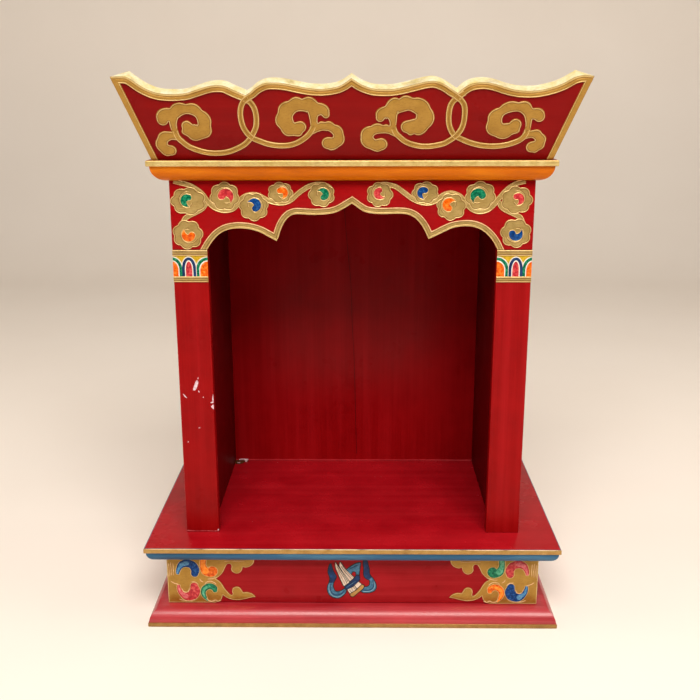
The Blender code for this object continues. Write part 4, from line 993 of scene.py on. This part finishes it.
def make_cornice_sides():
    """The plainer side boards with their border, wavy top edge and open back end."""
    rise, lean = math.sin(LEAN), math.cos(LEAN)
    front, back_end = CORNICE_FRONT + JOINT, reach("cornice_left")[1][1]
    for side, word in ((-1, "left"), (1, "right")):
        run = smooth(SIDE_TOP_EDGE)[:, :2]
        run[:, 0] *= (back_end - CORNICE_FRONT) / SIDE_DRAWN
        run[:, 0] += CORNICE_FRONT
        run[:, 0] += (front - run[0, 1] * rise - run[0, 0]) * np.linspace(1.0, 0.0, len(run))
        outline = counter_clockwise([*run, (back_end, 0.0), (front, 0.0)])
        behind = []
        for x, y in outline:
            back_y = y if y > 0.3 else -CORNICE_BOARD * math.tan(LEAN)
            front_end = front - y * rise
            mitre_end = front - back_y * rise + CORNICE_BOARD * lean
            straight = mitre_end + 3.0
            if x < straight:
                x = straight - (straight - x) * (straight - mitre_end) / (straight - front_end)
            behind.append((side * x, back_y, -CORNICE_BOARD))
        rows = [[(side * x, y, z) for x, y, z in row] for row in layers(outline, ARRIS_STEPS)]
        board = swept([behind, *rows])
        # The top edge faces take the pale gold of painted highlight
        paint(board, lambda c, n: n.y > 0.3 and abs(n.z) < 0.93 and c.y > 25, 1)
        place = face_at(side * (ROOF_HIGH[0] - SET_BACK), 0.0, ROOF_HIGH[2] + JOINT, LEAN,
                        side * math.pi / 2)
        piece("cornice_" + word + "_board", [board], place, [CORNICE_RED, PALE_GOLD_HIGHLIGHT], "red_lacquer",
              "cornice_" + word)
        corner = (run[0] + (0.9, 0.0), unit((1.0, rise)))
        run = run[::-1]
        border = strip(run, EDGE_SECTION, EDGE_SLOTS, sink_end(run, 9.0, 0.75), side, (None, corner))
        piece("cornice_" + word + "_border", [border], place, GILDING, "gilt_paint")


HEADER_LOW = reach("arched_header")[0][2]
HEADER_FACE = face_at(0.0, reach("arched_header")[0][1] + RELIEF_DEPTH, HEADER_LOW)
# The header's real width and height over those that it is drawn for
HEADER_SHARES = (1.0, 56.1 / 56.7)
JEWEL_COLOURS = {
    -1: ("green", "orange", "rose", "blue", "orange", "green"),
    1: ("rose", "blue", "green", "orange", "blue", "rose"),
}
JEWEL_ORDER = {colour: number for number, colour in enumerate(ENAMELS)}


def make_header_board():
    """The fretted board between posts and roof."""
    half = reach("arched_header")[1][0]
    top = reach("arched_header")[1][2] - HEADER_LOW
    arches = [[smooth(run)[:, :2] * HEADER_SHARES * (side, 1) for run in ARCH[side]] for side in (-1, 1)]
    (left_hump, left_shoulder), (right_hump, right_shoulder) = arches
    outline = counter_clockwise([(-half, 0.0), (-half, top), (half, top), (half, 0.0), *right_hump,
                                 *right_shoulder[1:], *left_shoulder[::-1][1:], *left_hump[::-1][1:]])
    rows = layers(outline, ((0.0, -10.0), (0.0, -0.5), (0.12, -0.12), (0.45, 0.0)))
    piece("header_board", [swept(rows)], HEADER_FACE, [HEADER_RED], "red_lacquer", "arched_header")


def make_header_ornament():
    """Arch border, vine, flowers with their piped rings, and the mottled jewels in them."""
    gilding, jewels = [], []
    floor_wall = (np.array((0.0, 0.2)), np.array((0.0, 1.0)))
    for side in (-1, 1):
        lines = [smooth(run)[:, :2] * HEADER_SHARES for run in ARCH[side]]
        gilding += chain(lines, [(ARCH_SECTION, ARCH_SLOTS)] * 2, floor_wall, MIDDLE_WALL, side)
        for path in VINES[side]:
            line = smooth(path)[:, :2] * HEADER_SHARES
            gilding.append(strip(line, VINE_SECTION, VINE_SLOTS, sink_end(line, 4.0, 0.3), side))
        for ((x, y, half_width, half_height, turn), (jewel_x, jewel_y, radius, bite, hand)), colour in zip(
                FLOWERS[side], JEWEL_COLOURS[side]):
            flower = oval(x, y, half_width, half_height, FLOWER_LOBES, FLOWER_DEPTH, turn, 112)
            flower = counter_clockwise(flower * HEADER_SHARES * (side, 1))
            gilding.append(plate(flower, ((0.0, 0.4), (0.15, 0.68), (0.4, 0.82), (0.7, 0.88)), 0))
            middle = np.array((side * jewel_x, jewel_y)) * HEADER_SHARES
            gilding.append(piping([(drawn_in(flower, PIPE_INSET), True)], 0.36, 0.62, 1))
            gilding.append(piping([(drawn_in(flower, LINE_INSET), True)], 0.23, 0.8, 2))
            start = math.radians(bite) - hand * 0.3
            angles = start + hand * np.linspace(0.0, 4.6, 40)
            for further, thickness, height, slot in ((0.0, 0.28, 0.86, 1), (0.5, 0.2, 0.84, 2)):
                reaches = radius + np.linspace(-1.2, 2.3, 40) + further
                curl = middle + reaches[:, None] * np.column_stack((np.cos(angles), np.sin(angles)))
                gilding.append(piping([(curl, False)], thickness, height, slot))
            outline = jewel(side * jewel_x, jewel_y, radius, bite, hand) * HEADER_SHARES
            points, triangles, _ = union([outline])
            jewels.append(raised(points, triangles, JEWEL_STEPS, JEWEL_ORDER[colour]))
            loops = union([jewel(side * jewel_x, jewel_y, radius + 0.3, bite, hand) * HEADER_SHARES])[2]
            gilding.append(piping([(loop, True) for loop in loops], 0.28, 0.9, 1))
    piece("header_gilding", gilding, HEADER_FACE, FLOWER_GILDING, "gilt_paint")
    piece("header_jewels", jewels, HEADER_FACE, list(ENAMELS.values()), "colour_paint")


def arch_petal(middle, half, top, low, span):
    """Outline of an upright petal with a round head, cut off at the sides of its post."""
    straight = low + (top - low) * 0.42
    points = [(middle - half, low), (middle + half, low)]
    for k in range(25):
        angle = math.pi * k / 24
        points.append((middle + half * math.cos(angle), straight + (top - straight) * math.sin(angle)))
    kept = np.array(points)
    kept[:, 0] = np.clip(kept[:, 0], *span)
    return kept


def make_post(side, word):
    """A front post: brushed red, with two gilt bars and the painted petals between them."""
    node = "post_" + word
    low, high = reach(node)
    half, height = (high[0] - low[0]) / 2, high[2] - low[2]
    place = front_face(node)
    outline = np.array(((-half, 0.0), (half, 0.0), (half, height), (-half, height)))
    inner = [np.sign(outline) * (-inset, 0.0) + outline for inset in (0.12, 0.45)]
    rows = [lifted(inner[1], -10.0), lifted(inner[0], -9.88), lifted(outline, -9.5), lifted(outline, -0.45),
            lifted(inner[0], -0.12), lifted(inner[1], 0.0)]
    piece("post_" + word + "_board", [swept(rows)], place, [POST_RED], "red_lacquer", node)
    bars = []
    section = ((0.0, -0.3), (0.0, 0.5), (0.15, 0.76), (0.45, 0.9), (1.0, 0.9), (1.2, 0.72), (1.5, 0.72),
               (1.7, 0.86), (3.1, 0.86), (3.3, 0.72), (3.6, 0.72), (3.8, 0.9), (4.35, 0.9), (4.65, 0.76),
               (4.8, 0.5), (4.8, -0.3))
    slots = (0, 1, 1, 1, 2, 2, 2, 0, 2, 2, 2, 1, 1, 1, 0, 0)
    low_bar, high_bar = height - 26.8, height - 4.8
    for bottom in (low_bar, high_bar):
        line = np.array([(x, bottom) for x in (-half, -half / 2, 0.0, half / 2, half)])
        bars.append(strip(line, section, slots))
    piece("post_" + word + "_bars", bars, place, FLOWER_GILDING, "gilt_paint")
    low_edge, high_edge = low_bar + 4.6, high_bar + 0.2
    span = (-half, half)
    petals = [plate(((-half, low_edge), (half, low_edge), (half, high_edge), (-half, high_edge)),
                    ((0.0, 0.1),), 4, -0.1)]
    top = high_bar - 0.5
    centre = side * 1.3
    for petal_middle, width, heart, edge in ((-side * half, 10.2, 3, 0), (side * (half + 0.6), 8.7, 3, 0),
                                             (centre, 6.45, 1, 5)):
        for k, (narrower, lower, slot) in enumerate(((0.0, 0.0, 6), (0.7, 0.8, edge), (3.0, 3.2, 6),
                                                     (3.8, 4.2, heart))):
            outline = arch_petal(petal_middle, width - narrower, top - lower, low_edge, span)
            height = 0.16 + 0.06 * k + (0.03 if petal_middle == centre else 0.0)
            petals.append(plate(outline, ((0.0, height),), slot, -0.1))
    piece("post_" + word + "_petals", petals, place,
          [*ENAMELS.values(), YELLOW, NAVY, WHITE], "colour_paint")


BASE_FACE = face_at(0.0, reach("base_front")[0][1] + RELIEF_DEPTH, reach("base_front")[0][2])
# Distance from the middle to the end of the board, and the height that its panels are drawn for
BASE_END = 164.0
BASE_DRAWN = 45.7
# How many rows of each drop carry the lighter tint, counted from its outer end
TINTED_ROWS = {"arch": 5, "hook": 3, "cup": 4, "ring": 5}
DROP_COLOURS = {-1: {"arch": "blue", "hook": "orange", "cup": "rose", "ring": "green"},
                1: {"arch": "rose", "hook": "green", "cup": "blue", "ring": "orange"}}


def from_end(outline, side, share):
    """An outline drawn from the end of the base, on its face; share is for the board's real height."""
    return (np.array((BASE_END, 0.0)) - np.array(outline)[:, :2] * (1, -1)) * (side, share)


def make_base_front():
    """The base's front board with its corner scroll panels and coloured drops."""
    low, high = reach("base_front")
    half, height = high[0], high[2] - low[2]
    outline = np.array(((-half, 0.0), (half, 0.0), (half, height), (-half, height)))
    rows = layers(outline, ((0.0, -12.0), (0.0, -0.4), (0.4, 0.0)))
    piece("base_front_board", [swept(rows)], BASE_FACE, [BASE_RED], "red_lacquer", "base_front")
    gilding, drops = [], []
    share = height / BASE_DRAWN
    for side in (-1, 1):
        ring = counter_clockwise(from_end(smooth_ring(PANEL, PANEL_CORNERS), side, share))
        points, triangles, loops = union([ring])
        gilding.append(raised(points, triangles, PLATE_STEPS))
        for loop in loops:
            gilding.append(piping([(drawn_in(loop, 0.45), True)], 0.36, 0.62, 1))
        for stroke in PANEL_STROKES:
            gilding.append(piping([(from_end(smooth(stroke), side, share), False)], 0.42, 0.8, 3))
        for name, path in DROPS.items():
            outline = counter_clockwise(from_end(band(path, round_end=True, step=0.5), side, share))
            points, triangles, loops = union([outline])
            drops.append(raised(points, triangles, ((0.0, 1.1), (0.3, 0.18), (0.4, 0.1)),
                                JEWEL_ORDER[DROP_COLOURS[side][name]]))
            rows = path[:TINTED_ROWS[name]]
            widths = [max(row[2] - 0.55 - 0.3 * k, 0.35) for k, row in enumerate(rows)]
            flank = band([(*row[:2], width) for row, width in zip(rows, widths)], round_end=True, step=0.5)
            flank = from_end(flank, side, share)
            tint = len(ENAMELS) + JEWEL_ORDER[DROP_COLOURS[side][name]]
            drops.append(plate(flank, ((0.0, 1.1), (0.2, 1.15)), tint, 0.9))
            for loop in loops:
                gilding.append(piping([(drawn_in(loop, -0.25), True)], 0.26, 0.78, 1))
    piece("base_gilding", gilding, BASE_FACE, GILDING, "gilt_paint")
    piece("base_drops", drops, BASE_FACE, [*ENAMELS.values(), *TINTS], "colour_paint")


# Emblem in the middle of the base, painted in layers: (finish, outline), finishes as in EMBLEM_PAINTS
EMBLEM = (
    ("steel", ((-20.3, 19.8), (-21.7, 16.4), (-21.8, 12.2), (-20.4, 8.4), (-17.8, 6), (-14.4, 4.8),
               (-11, 5.3), (-7.6, 7.9), (-5.9, 10.3), (-5.4, 12.7), (-6.7, 13.9), (-8.9, 12.2), (-11, 11.2),
               (-14, 10.9), (-15.7, 12.2), (-16.8, 14.6), (-17.3, 17.4), (-17, 20))),
    ("navy", ((-18.9, 38.3), (-18.3, 35.8), (-17, 31.6), (-15.2, 27.8), (-14.3, 25.9), (-15.2, 23.1),
              (-16.7, 20), (-20.1, 19.8), (-19.6, 23.5), (-20.2, 26.8), (-21.2, 30.1), (-20.6, 34.8),
              (-19.7, 37.6))),
    ("steel", ((17.5, 25.1), (20, 20.9), (21.1, 17.1), (20.7, 13.8), (18, 11.2), (13.7, 10.2), (9.4, 10.6),
               (7.3, 12.1), (10.3, 15.2), (13.3, 15.9), (15.4, 17.5), (15.8, 19.9), (15.6, 22.3),
               (14.7, 23.7))),
    ("navy", ((10, 41.3), (12.8, 41.3), (14, 36.8), (14.9, 33.1), (15.1, 28.9), (17, 25.3), (14.5, 23.2),
              (11.1, 25.6), (10.3, 29.3), (10.5, 34), (10, 37.8))),
    ("steel", ((-4.8, 32.8), (-2.4, 34.9), (0.5, 37), (3.9, 38.9), (7.1, 39.4), (6.8, 35.4), (6.2, 30.7),
               (5.9, 26.5), (3.9, 26.9), (3.6, 29.8), (2.2, 31.2), (0.5, 30.9), (-1.4, 28.7), (-3.3, 30.7))),
    ("white", ((-14.9, 40), (-13, 36.5), (-9.2, 31.3), (-5.8, 26.4), (-2.5, 20.5), (-6.7, 16.5),
               (-10.1, 23.1), (-12.6, 29.7), (-14.5, 34.8))),
    ("white", ((-10.6, 40.2), (-8.8, 37.2), (-5.4, 32.5), (-1.6, 28.3), (1.3, 25.3), (-1.6, 21.5),
               (-5.8, 27.4), (-9.2, 32.5), (-11.2, 36.7))),
    ("gold", ((-1.8, 9.6), (3.1, 12), (5.2, 14.2), (8.4, 18), (10.5, 17), (9.4, 14.2), (5.2, 10.4),
              (0.9, 6.5), (-1.2, 7))),
    ("white", ((-4.2, 13.4), (-1, 14.9), (0.7, 11.5), (-2.1, 9.4))),
    ("white", ((-0.6, 15.1), (2, 16.6), (3.8, 13.8), (1.1, 11.5))),
    ("white", ((2.2, 17.5), (5.6, 20.9), (8.2, 18.5), (4.3, 14.4))),
    ("navy", ((-6.7, 16.3), (-3.3, 18.9), (-0.8, 21.7), (2.2, 24.6), (3.9, 27.2), (5.9, 26.9), (6.5, 23.7),
              (5.2, 20.8), (2.2, 18), (-0.3, 16.1), (-2.5, 14.1), (-5.4, 13.6))),
)
EMBLEM_LINES = (
    ("ink", ((-11.9, 36), (-9.2, 30.8), (-6, 25.4), (-3.6, 20.6))),
    ("brown", ((-12.9, 33), (-10.4, 27.4), (-8, 22), (-5.6, 17.8))),
    ("brown", ((-8.8, 37), (-5.6, 31.8), (-2.2, 27.6), (0.6, 24.8))),
    ("steel", ((-5.2, 15.2), (-2.4, 17.4), (0.4, 19.6), (3, 21.6))),
    ("ink", ((-2.8, 13.2), (0.4, 9.4))),
    ("ink", ((0.9, 16.2), (3.2, 13.2))),
    ("ink", ((-1.8, 9.4), (2.4, 12.2), (5.2, 14.8), (8.4, 18.2))),
    ("pale", ((-20.6, 18), (-20.4, 12.4), (-18.4, 8), (-14.4, 6), (-10.6, 6.6), (-7, 9.8))),
    ("pale", ((19.2, 21.6), (20, 17), (18, 13), (13.6, 11.4), (9.4, 11.6))),
    ("navy", ((-19.2, 18.8), (-19.6, 15), (-18.7, 11.2), (-16.5, 8.8), (-14, 7.8), (-10.6, 8.6), (-8, 10.6),
              (-6.6, 12.5))),
    ("ink", ((-13.6, 36.5), (-10.5, 30.6), (-7.1, 25), (-4.5, 18.9))),
    ("ink", ((-9.8, 36.3), (-6.7, 31.1), (-3.3, 26.9), (-0.3, 23.6))),
    ("navy", ((-3.3, 33), (0.1, 34.9), (3.5, 36.6), (5.4, 37.3))),
    ("navy", ((18.1, 22.8), (19, 18.5), (18.2, 14.7), (14.5, 12.8), (9.9, 12.5))),
)
EMBLEM_PAINTS = {"white": HORN_WHITE, "navy": NAVY, "steel": STEEL_BLUE, "ink": INK, "gold": FILLET_GOLD,
                 "brown": HORN_LINE, "pale": PALE_BLUE}


def make_emblem():
    """The painted emblem: a bundle of white horns on a blue band, with a fluttering ribbon on each side."""
    order = list(EMBLEM_PAINTS)
    shapes = []
    for k, (paint_name, points) in enumerate(EMBLEM):
        few = len(points) < 5
        outline = counter_clockwise(points if few else smooth_ring(points, (0, len(points) // 2), 0.6))
        edge = drawn_in(outline, -0.75)
        base = 0.05 + 0.02 * k
        shapes.append(plate(edge, ((0.0, base),), order.index("ink"), -0.1))
        shapes.append(plate(outline, ((0.0, base + 0.08),), order.index(paint_name), -0.1))
    for paint_name, points in EMBLEM_LINES:
        shapes.append(piping([(smooth(points, 0.6), False)], 0.26, 0.36, order.index(paint_name)))
    piece("base_emblem", shapes, BASE_FACE, list(EMBLEM_PAINTS.values()), "colour_paint")


# Chips in the left post's lacquer down to the white ground, and last a thin strip of painted highlight
# along its foot: outlines from the post's middle and foot, cut off at the post's edge
POST_EDGE = 14.35
CHIPS = (
    ((-2.8, 132.9), (-1.4, 137.8), (0.6, 141.6), (1.9, 140), (1, 136.4), (-0.9, 132.7)),
    ((1.4, 143), (2, 144.4), (2.3, 143.4), (1.9, 142.4)),
    ((1.8, 132.6), (2.6, 131.4), (2.3, 130.6), (1.5, 131.6)),
    ((-11.7, 129.6), (-10.4, 128.4), (-8.4, 125.6), (-9.4, 126), (-10.9, 127.4)),
    ((13.2, 125), (14.35, 129), (14.35, 123.4), (13.6, 122.8)),
    ((11.6, 121.6), (14.35, 122.8), (14.35, 121.4), (12.6, 121)),
    ((12, 118), (14.35, 119.6), (14.35, 115.6), (13.2, 116.2)),
    ((5.2, 126.4), (5.8, 127), (6, 126.2), (5.6, 125.8)),
    ((0.2, 98.4), (1.6, 98.9), (1.9, 98.4), (0.8, 98)),
    ((12.9, 1.6), (13.9, 2.6), (14.35, 1.8), (13.8, 1)),
    ((-9.8, 85.4), (-9.2, 86), (-8.8, 85.2), (-9.4, 84.8)),
    ((-13.8, 0.4), (-4, 0.3), (4, 0.4), (9.5, 0.2), (13.8, 0.3), (14.2, 0.9), (9, 0.7), (2, 0.9), (-6, 0.7),
     (-14, 1.2)),
)
# Glue in the floor's left back corner and the specks of ground in it: outline from the corner, steps, finish
GLUE_PARTS = (
    (((0.1, -0.2), (6, -0.3), (12, -0.4), (13.4, -2.6), (9.8, -4.6), (7.4, -8.8), (3.6, -10.4), (0.1, -8.6)),
     ((0.0, 0.25), (0.5, 0.6), (1.0, 0.75)), 0),
    (((9.4, -1.2), (12, -1.6), (11.6, -4.4), (9.6, -4)), ((0.0, 0.8), (0.3, 1.0)), 1),
    (((2.2, -7), (4.6, -7.2), (4.8, -9), (2.6, -9)), ((0.0, 0.78), (0.3, 0.95)), 1),
)
# Stretches of painted highlight along the shelf's front edge, as start, end and thickness
EDGE_GLARE_STRETCHES = ((-178, -131, 0.28), (-129, -96, 0.36), (-95, -57, 0.26), (-54, -20, 0.3), (-19, 8, 0.4),
               (11, 47, 0.3), (48, 96, 0.26), (98, 131, 0.34), (133, 178, 0.28))


def make_wear_and_highlights():
    """Chips on the left post, the joint in the back panel, glue along the floor and in its left corner,
    and painted highlights along the left post's foot and the shelf's front edge.
    """
    chips = []
    for points in CHIPS:
        outline = counter_clockwise(smooth_ring([np.array(p) for p in points], (), 0.5))
        outline[:, 0] = np.minimum(outline[:, 0], POST_EDGE)
        # Outlines that start below 1 mm, the strip at the foot, take the paler lacquer of painted highlight
        chips.append(plate(outline, ((0.0, 0.04), (0.12, 0.07)), int(points[0][1] < 1), -0.1))
    piece("post_left_chips_and_foot_highlight", chips, front_face("post_left"), [CHIP_GROUND, POST_FOOT_HIGHLIGHT], "bare_wood")
    panel_front = reach("back_panel")[0][1]
    floor_top = reach("shelf_board")[1][2]
    place = face_at(0.0, panel_front, floor_top)
    joint = smooth(((-9.5, 306), (-9, 270), (-6.6, 235), (-2.6, 190), (-1.4, 150), (0.6, 110), (1.8, 60),
                    (3, 8)), 6.0)
    section = ((-0.3, -0.2), (-0.22, 0.06), (0.22, 0.06), (0.3, -0.2))
    crack = strip(joint, section, None)
    piece("back_joint", [crack], place, [JOINT_RED], "red_lacquer")
    inner = reach("side_wall_left")[1][0]
    bead = smooth(((inner, 0.6), (inner / 2, 0.75), (0, 0.6), (-inner / 2, 0.8), (-inner, 0.6)), 8.0)
    section = ((-0.9, -0.2), (-0.8, 0.35), (-0.2, 0.75), (0.5, 0.6), (0.9, -0.2))
    glue = strip(bead, section, None)
    piece("floor_glue_line", [glue], place, [GLUE_RED], "red_lacquer")
    # Painted highlight: bright gold lines along the shelf's front arris
    low, high = reach("shelf_board")
    glare_lines = []
    for start, end, radius in EDGE_GLARE_STRETCHES:
        points = np.array([(x, -0.3) for x in np.arange(start, end, 2.0)])
        glare_lines.append(piping([(points, False)], radius, -0.12))
    piece("shelf_edge_painted_glare", glare_lines, face_at(0.0, low[1], high[2]), [EDGE_GLARE_GOLD], "gilt_paint")
    place = face_at(inner, panel_front, floor_top)
    rim = smooth_ring(((3.2, 0.5), (8, 0.7), (12.6, 0.6), (12.8, 1.5), (8.4, 1.8), (3.4, 1.6)), (), 0.5)
    filler = plate(rim, ((0.0, 0.5), (0.3, 0.8)), 1)
    piece("corner_filler", [filler], place, [OLD_GLUE, CHIP_GROUND], "bare_wood")
    place = Matrix.Translation((inner * MM, panel_front * MM, floor_top * MM)) @ Matrix.Scale(MM, 4)
    blob = [plate(smooth_ring(points, (), 0.5), steps, slot, -0.2) for points, steps, slot in GLUE_PARTS]
    piece("corner_glue", blob, place, [OLD_GLUE, CHIP_GROUND], "bare_wood")


def make_boards():
    """The moulded boards and the plain boards of base and niche."""
    # The plinth's round and top take the lighter, pinker red of painted sheen
    moulded_board("plinth", "plinth_board", (4.2, 0.8), False,
                  [BASE_RED, PLINTH_GOLD, PLINTH_SHEEN_RED, PLINTH_SHEEN_RED])
    moulded_board("shelf", "shelf_board", (4.6, 1.6), True, [BASE_RED, FILLET_GOLD, BLUE, SHELF_RED])
    moulded_board("roof", "roof_board", (4.7, 2.4), True, [BASE_RED, ROOF_GOLD, ORANGE, CORNICE_RED])
    plain_board("base_left_board", "base_left", [BASE_RED], "red_lacquer")
    plain_board("base_right_board", "base_right", [BASE_RED], "red_lacquer")
    plain_board("base_back_board", "base_back", [BARE_WOOD], "bare_wood")
    # The walls' inner faces take the darker red of painted shade; their outer faces take the posts' red
    plain_board("niche_wall_left", "side_wall_left", [WALL_SHADE_RED, POST_RED], "red_lacquer")
    plain_board("niche_wall_right", "side_wall_right", [WALL_SHADE_RED, POST_RED], "red_lacquer")
    plain_board("niche_back", "back_panel", [NICHE_RED], "red_lacquer")


def make_floor():
    """A pale floor that runs up into a backdrop behind the altar."""
    shape = bmesh.new()
    bmesh.ops.create_grid(shape, x_segments=1, y_segments=1, size=6.0)
    bmesh.ops.translate(shape, verts=shape.verts[:], vec=(0.0, -4.6, 0.0))
    edge = [e for e in shape.edges if all(v.co.y > 1.0 for v in e.verts)]
    bmesh.ops.spin(shape, geom=edge, cent=(0.0, 1.4, 0.6), axis=(1.0, 0.0, 0.0), angle=math.pi / 2,
                   steps=24, use_merge=False)
    far = max(v.co.z for v in shape.verts)
    edge = [e for e in shape.edges if all(v.co.z > far - 1e-4 for v in e.verts)]
    wall = bmesh.ops.extrude_edge_only(shape, edges=edge)["geom"]
    rim = [item for item in wall if isinstance(item, bmesh.types.BMVert)]
    bmesh.ops.translate(shape, verts=rim, vec=(0.0, 0.0, 2.5))
    for face in shape.faces:
        face.smooth = True
    mesh = bpy.data.meshes.new("pale_floor")
    shape.to_mesh(mesh)
    shape.free()
    material, tree, shader, place = blank("pale_floor")
    clouds = noise(tree, place, 3.0, 2.0)
    tree.links.new(mixed(tree, clouds, "F2EAE0", "F8F2EA"), shader.inputs["Base Color"])
    shader.inputs["Roughness"].default_value = 0.7
    mesh.materials.append(material)
    linked("pale_floor", mesh)


def soft_box(name, place, target, size, power, tint):
    """A square soft light pointed at a target."""
    light = bpy.data.lights.new(name, "AREA")
    light.shape = "RECTANGLE"
    light.size, light.size_y = size
    light.energy = power
    light.color = linear(tint)[:3]
    lamp = linked(name, light)
    lamp.location = place
    lamp.rotation_euler = (Vector(target) - Vector(place)).to_track_quat("-Z", "Y").to_euler()


def make_lights():
    """A big soft box high in front, a weak one from each side, and warm pale surroundings."""
    soft_box("soft_box_front", (0.1, -1.3, 1.7), (0.0, 0.0, 0.25), (1.4, 0.9), 50.0, "FFF8F0")
    soft_box("fill_left", (-1.7, -0.15, 1.0), (0.0, 0.0, 0.2), (1.0, 1.0), 10.0, "FFF2E6")
    soft_box("fill_right", (1.7, -0.15, 1.0), (0.0, 0.0, 0.2), (1.0, 1.0), 12.0, "FFF2E6")
    world = bpy.data.worlds.new("pale_surroundings")
    world.use_nodes = True
    background = world.node_tree.nodes["Background"]
    background.inputs["Color"].default_value = linear("FFEBD6")
    background.inputs["Strength"].default_value = 0.12
    bpy.context.scene.world = world


def make_camera():
    """The camera in front of the altar, a little right of its middle and looking 15.5 degrees down."""
    yaw, pitch, roll = math.radians(-0.655), math.radians(15.511), math.radians(-0.100)
    forward = Vector((math.sin(yaw) * math.cos(pitch), math.cos(yaw) * math.cos(pitch), -math.sin(pitch)))
    right = Vector((math.cos(yaw), -math.sin(yaw), 0.0))
    up = right.cross(forward)
    right, up = right * math.cos(roll) + up * math.sin(roll), up * math.cos(roll) - right * math.sin(roll)
    lens = bpy.data.cameras.new("camera")
    lens.sensor_width = 36.0
    lens.lens = 48.54
    camera = linked("camera", lens)
    camera.matrix_world = Matrix.Translation((0.0070, -0.8433, 0.4586)) @ Matrix((
        (right.x, up.x, -forward.x, 0.0),
        (right.y, up.y, -forward.y, 0.0),
        (right.z, up.z, -forward.z, 0.0),
        (0.0, 0.0, 0.0, 1.0),
    ))
    bpy.context.scene.camera = camera


make_boards()
make_base_front()
make_emblem()
make_post(-1, "left")
make_post(1, "right")
make_header_board()
make_header_ornament()
make_cornice_board()
make_cornice_sides()
make_cornice_gilding()
make_wear_and_highlights()
make_floor()
make_lights()
make_camera()
bpy.context.scene.view_settings.view_transform = "Standard"
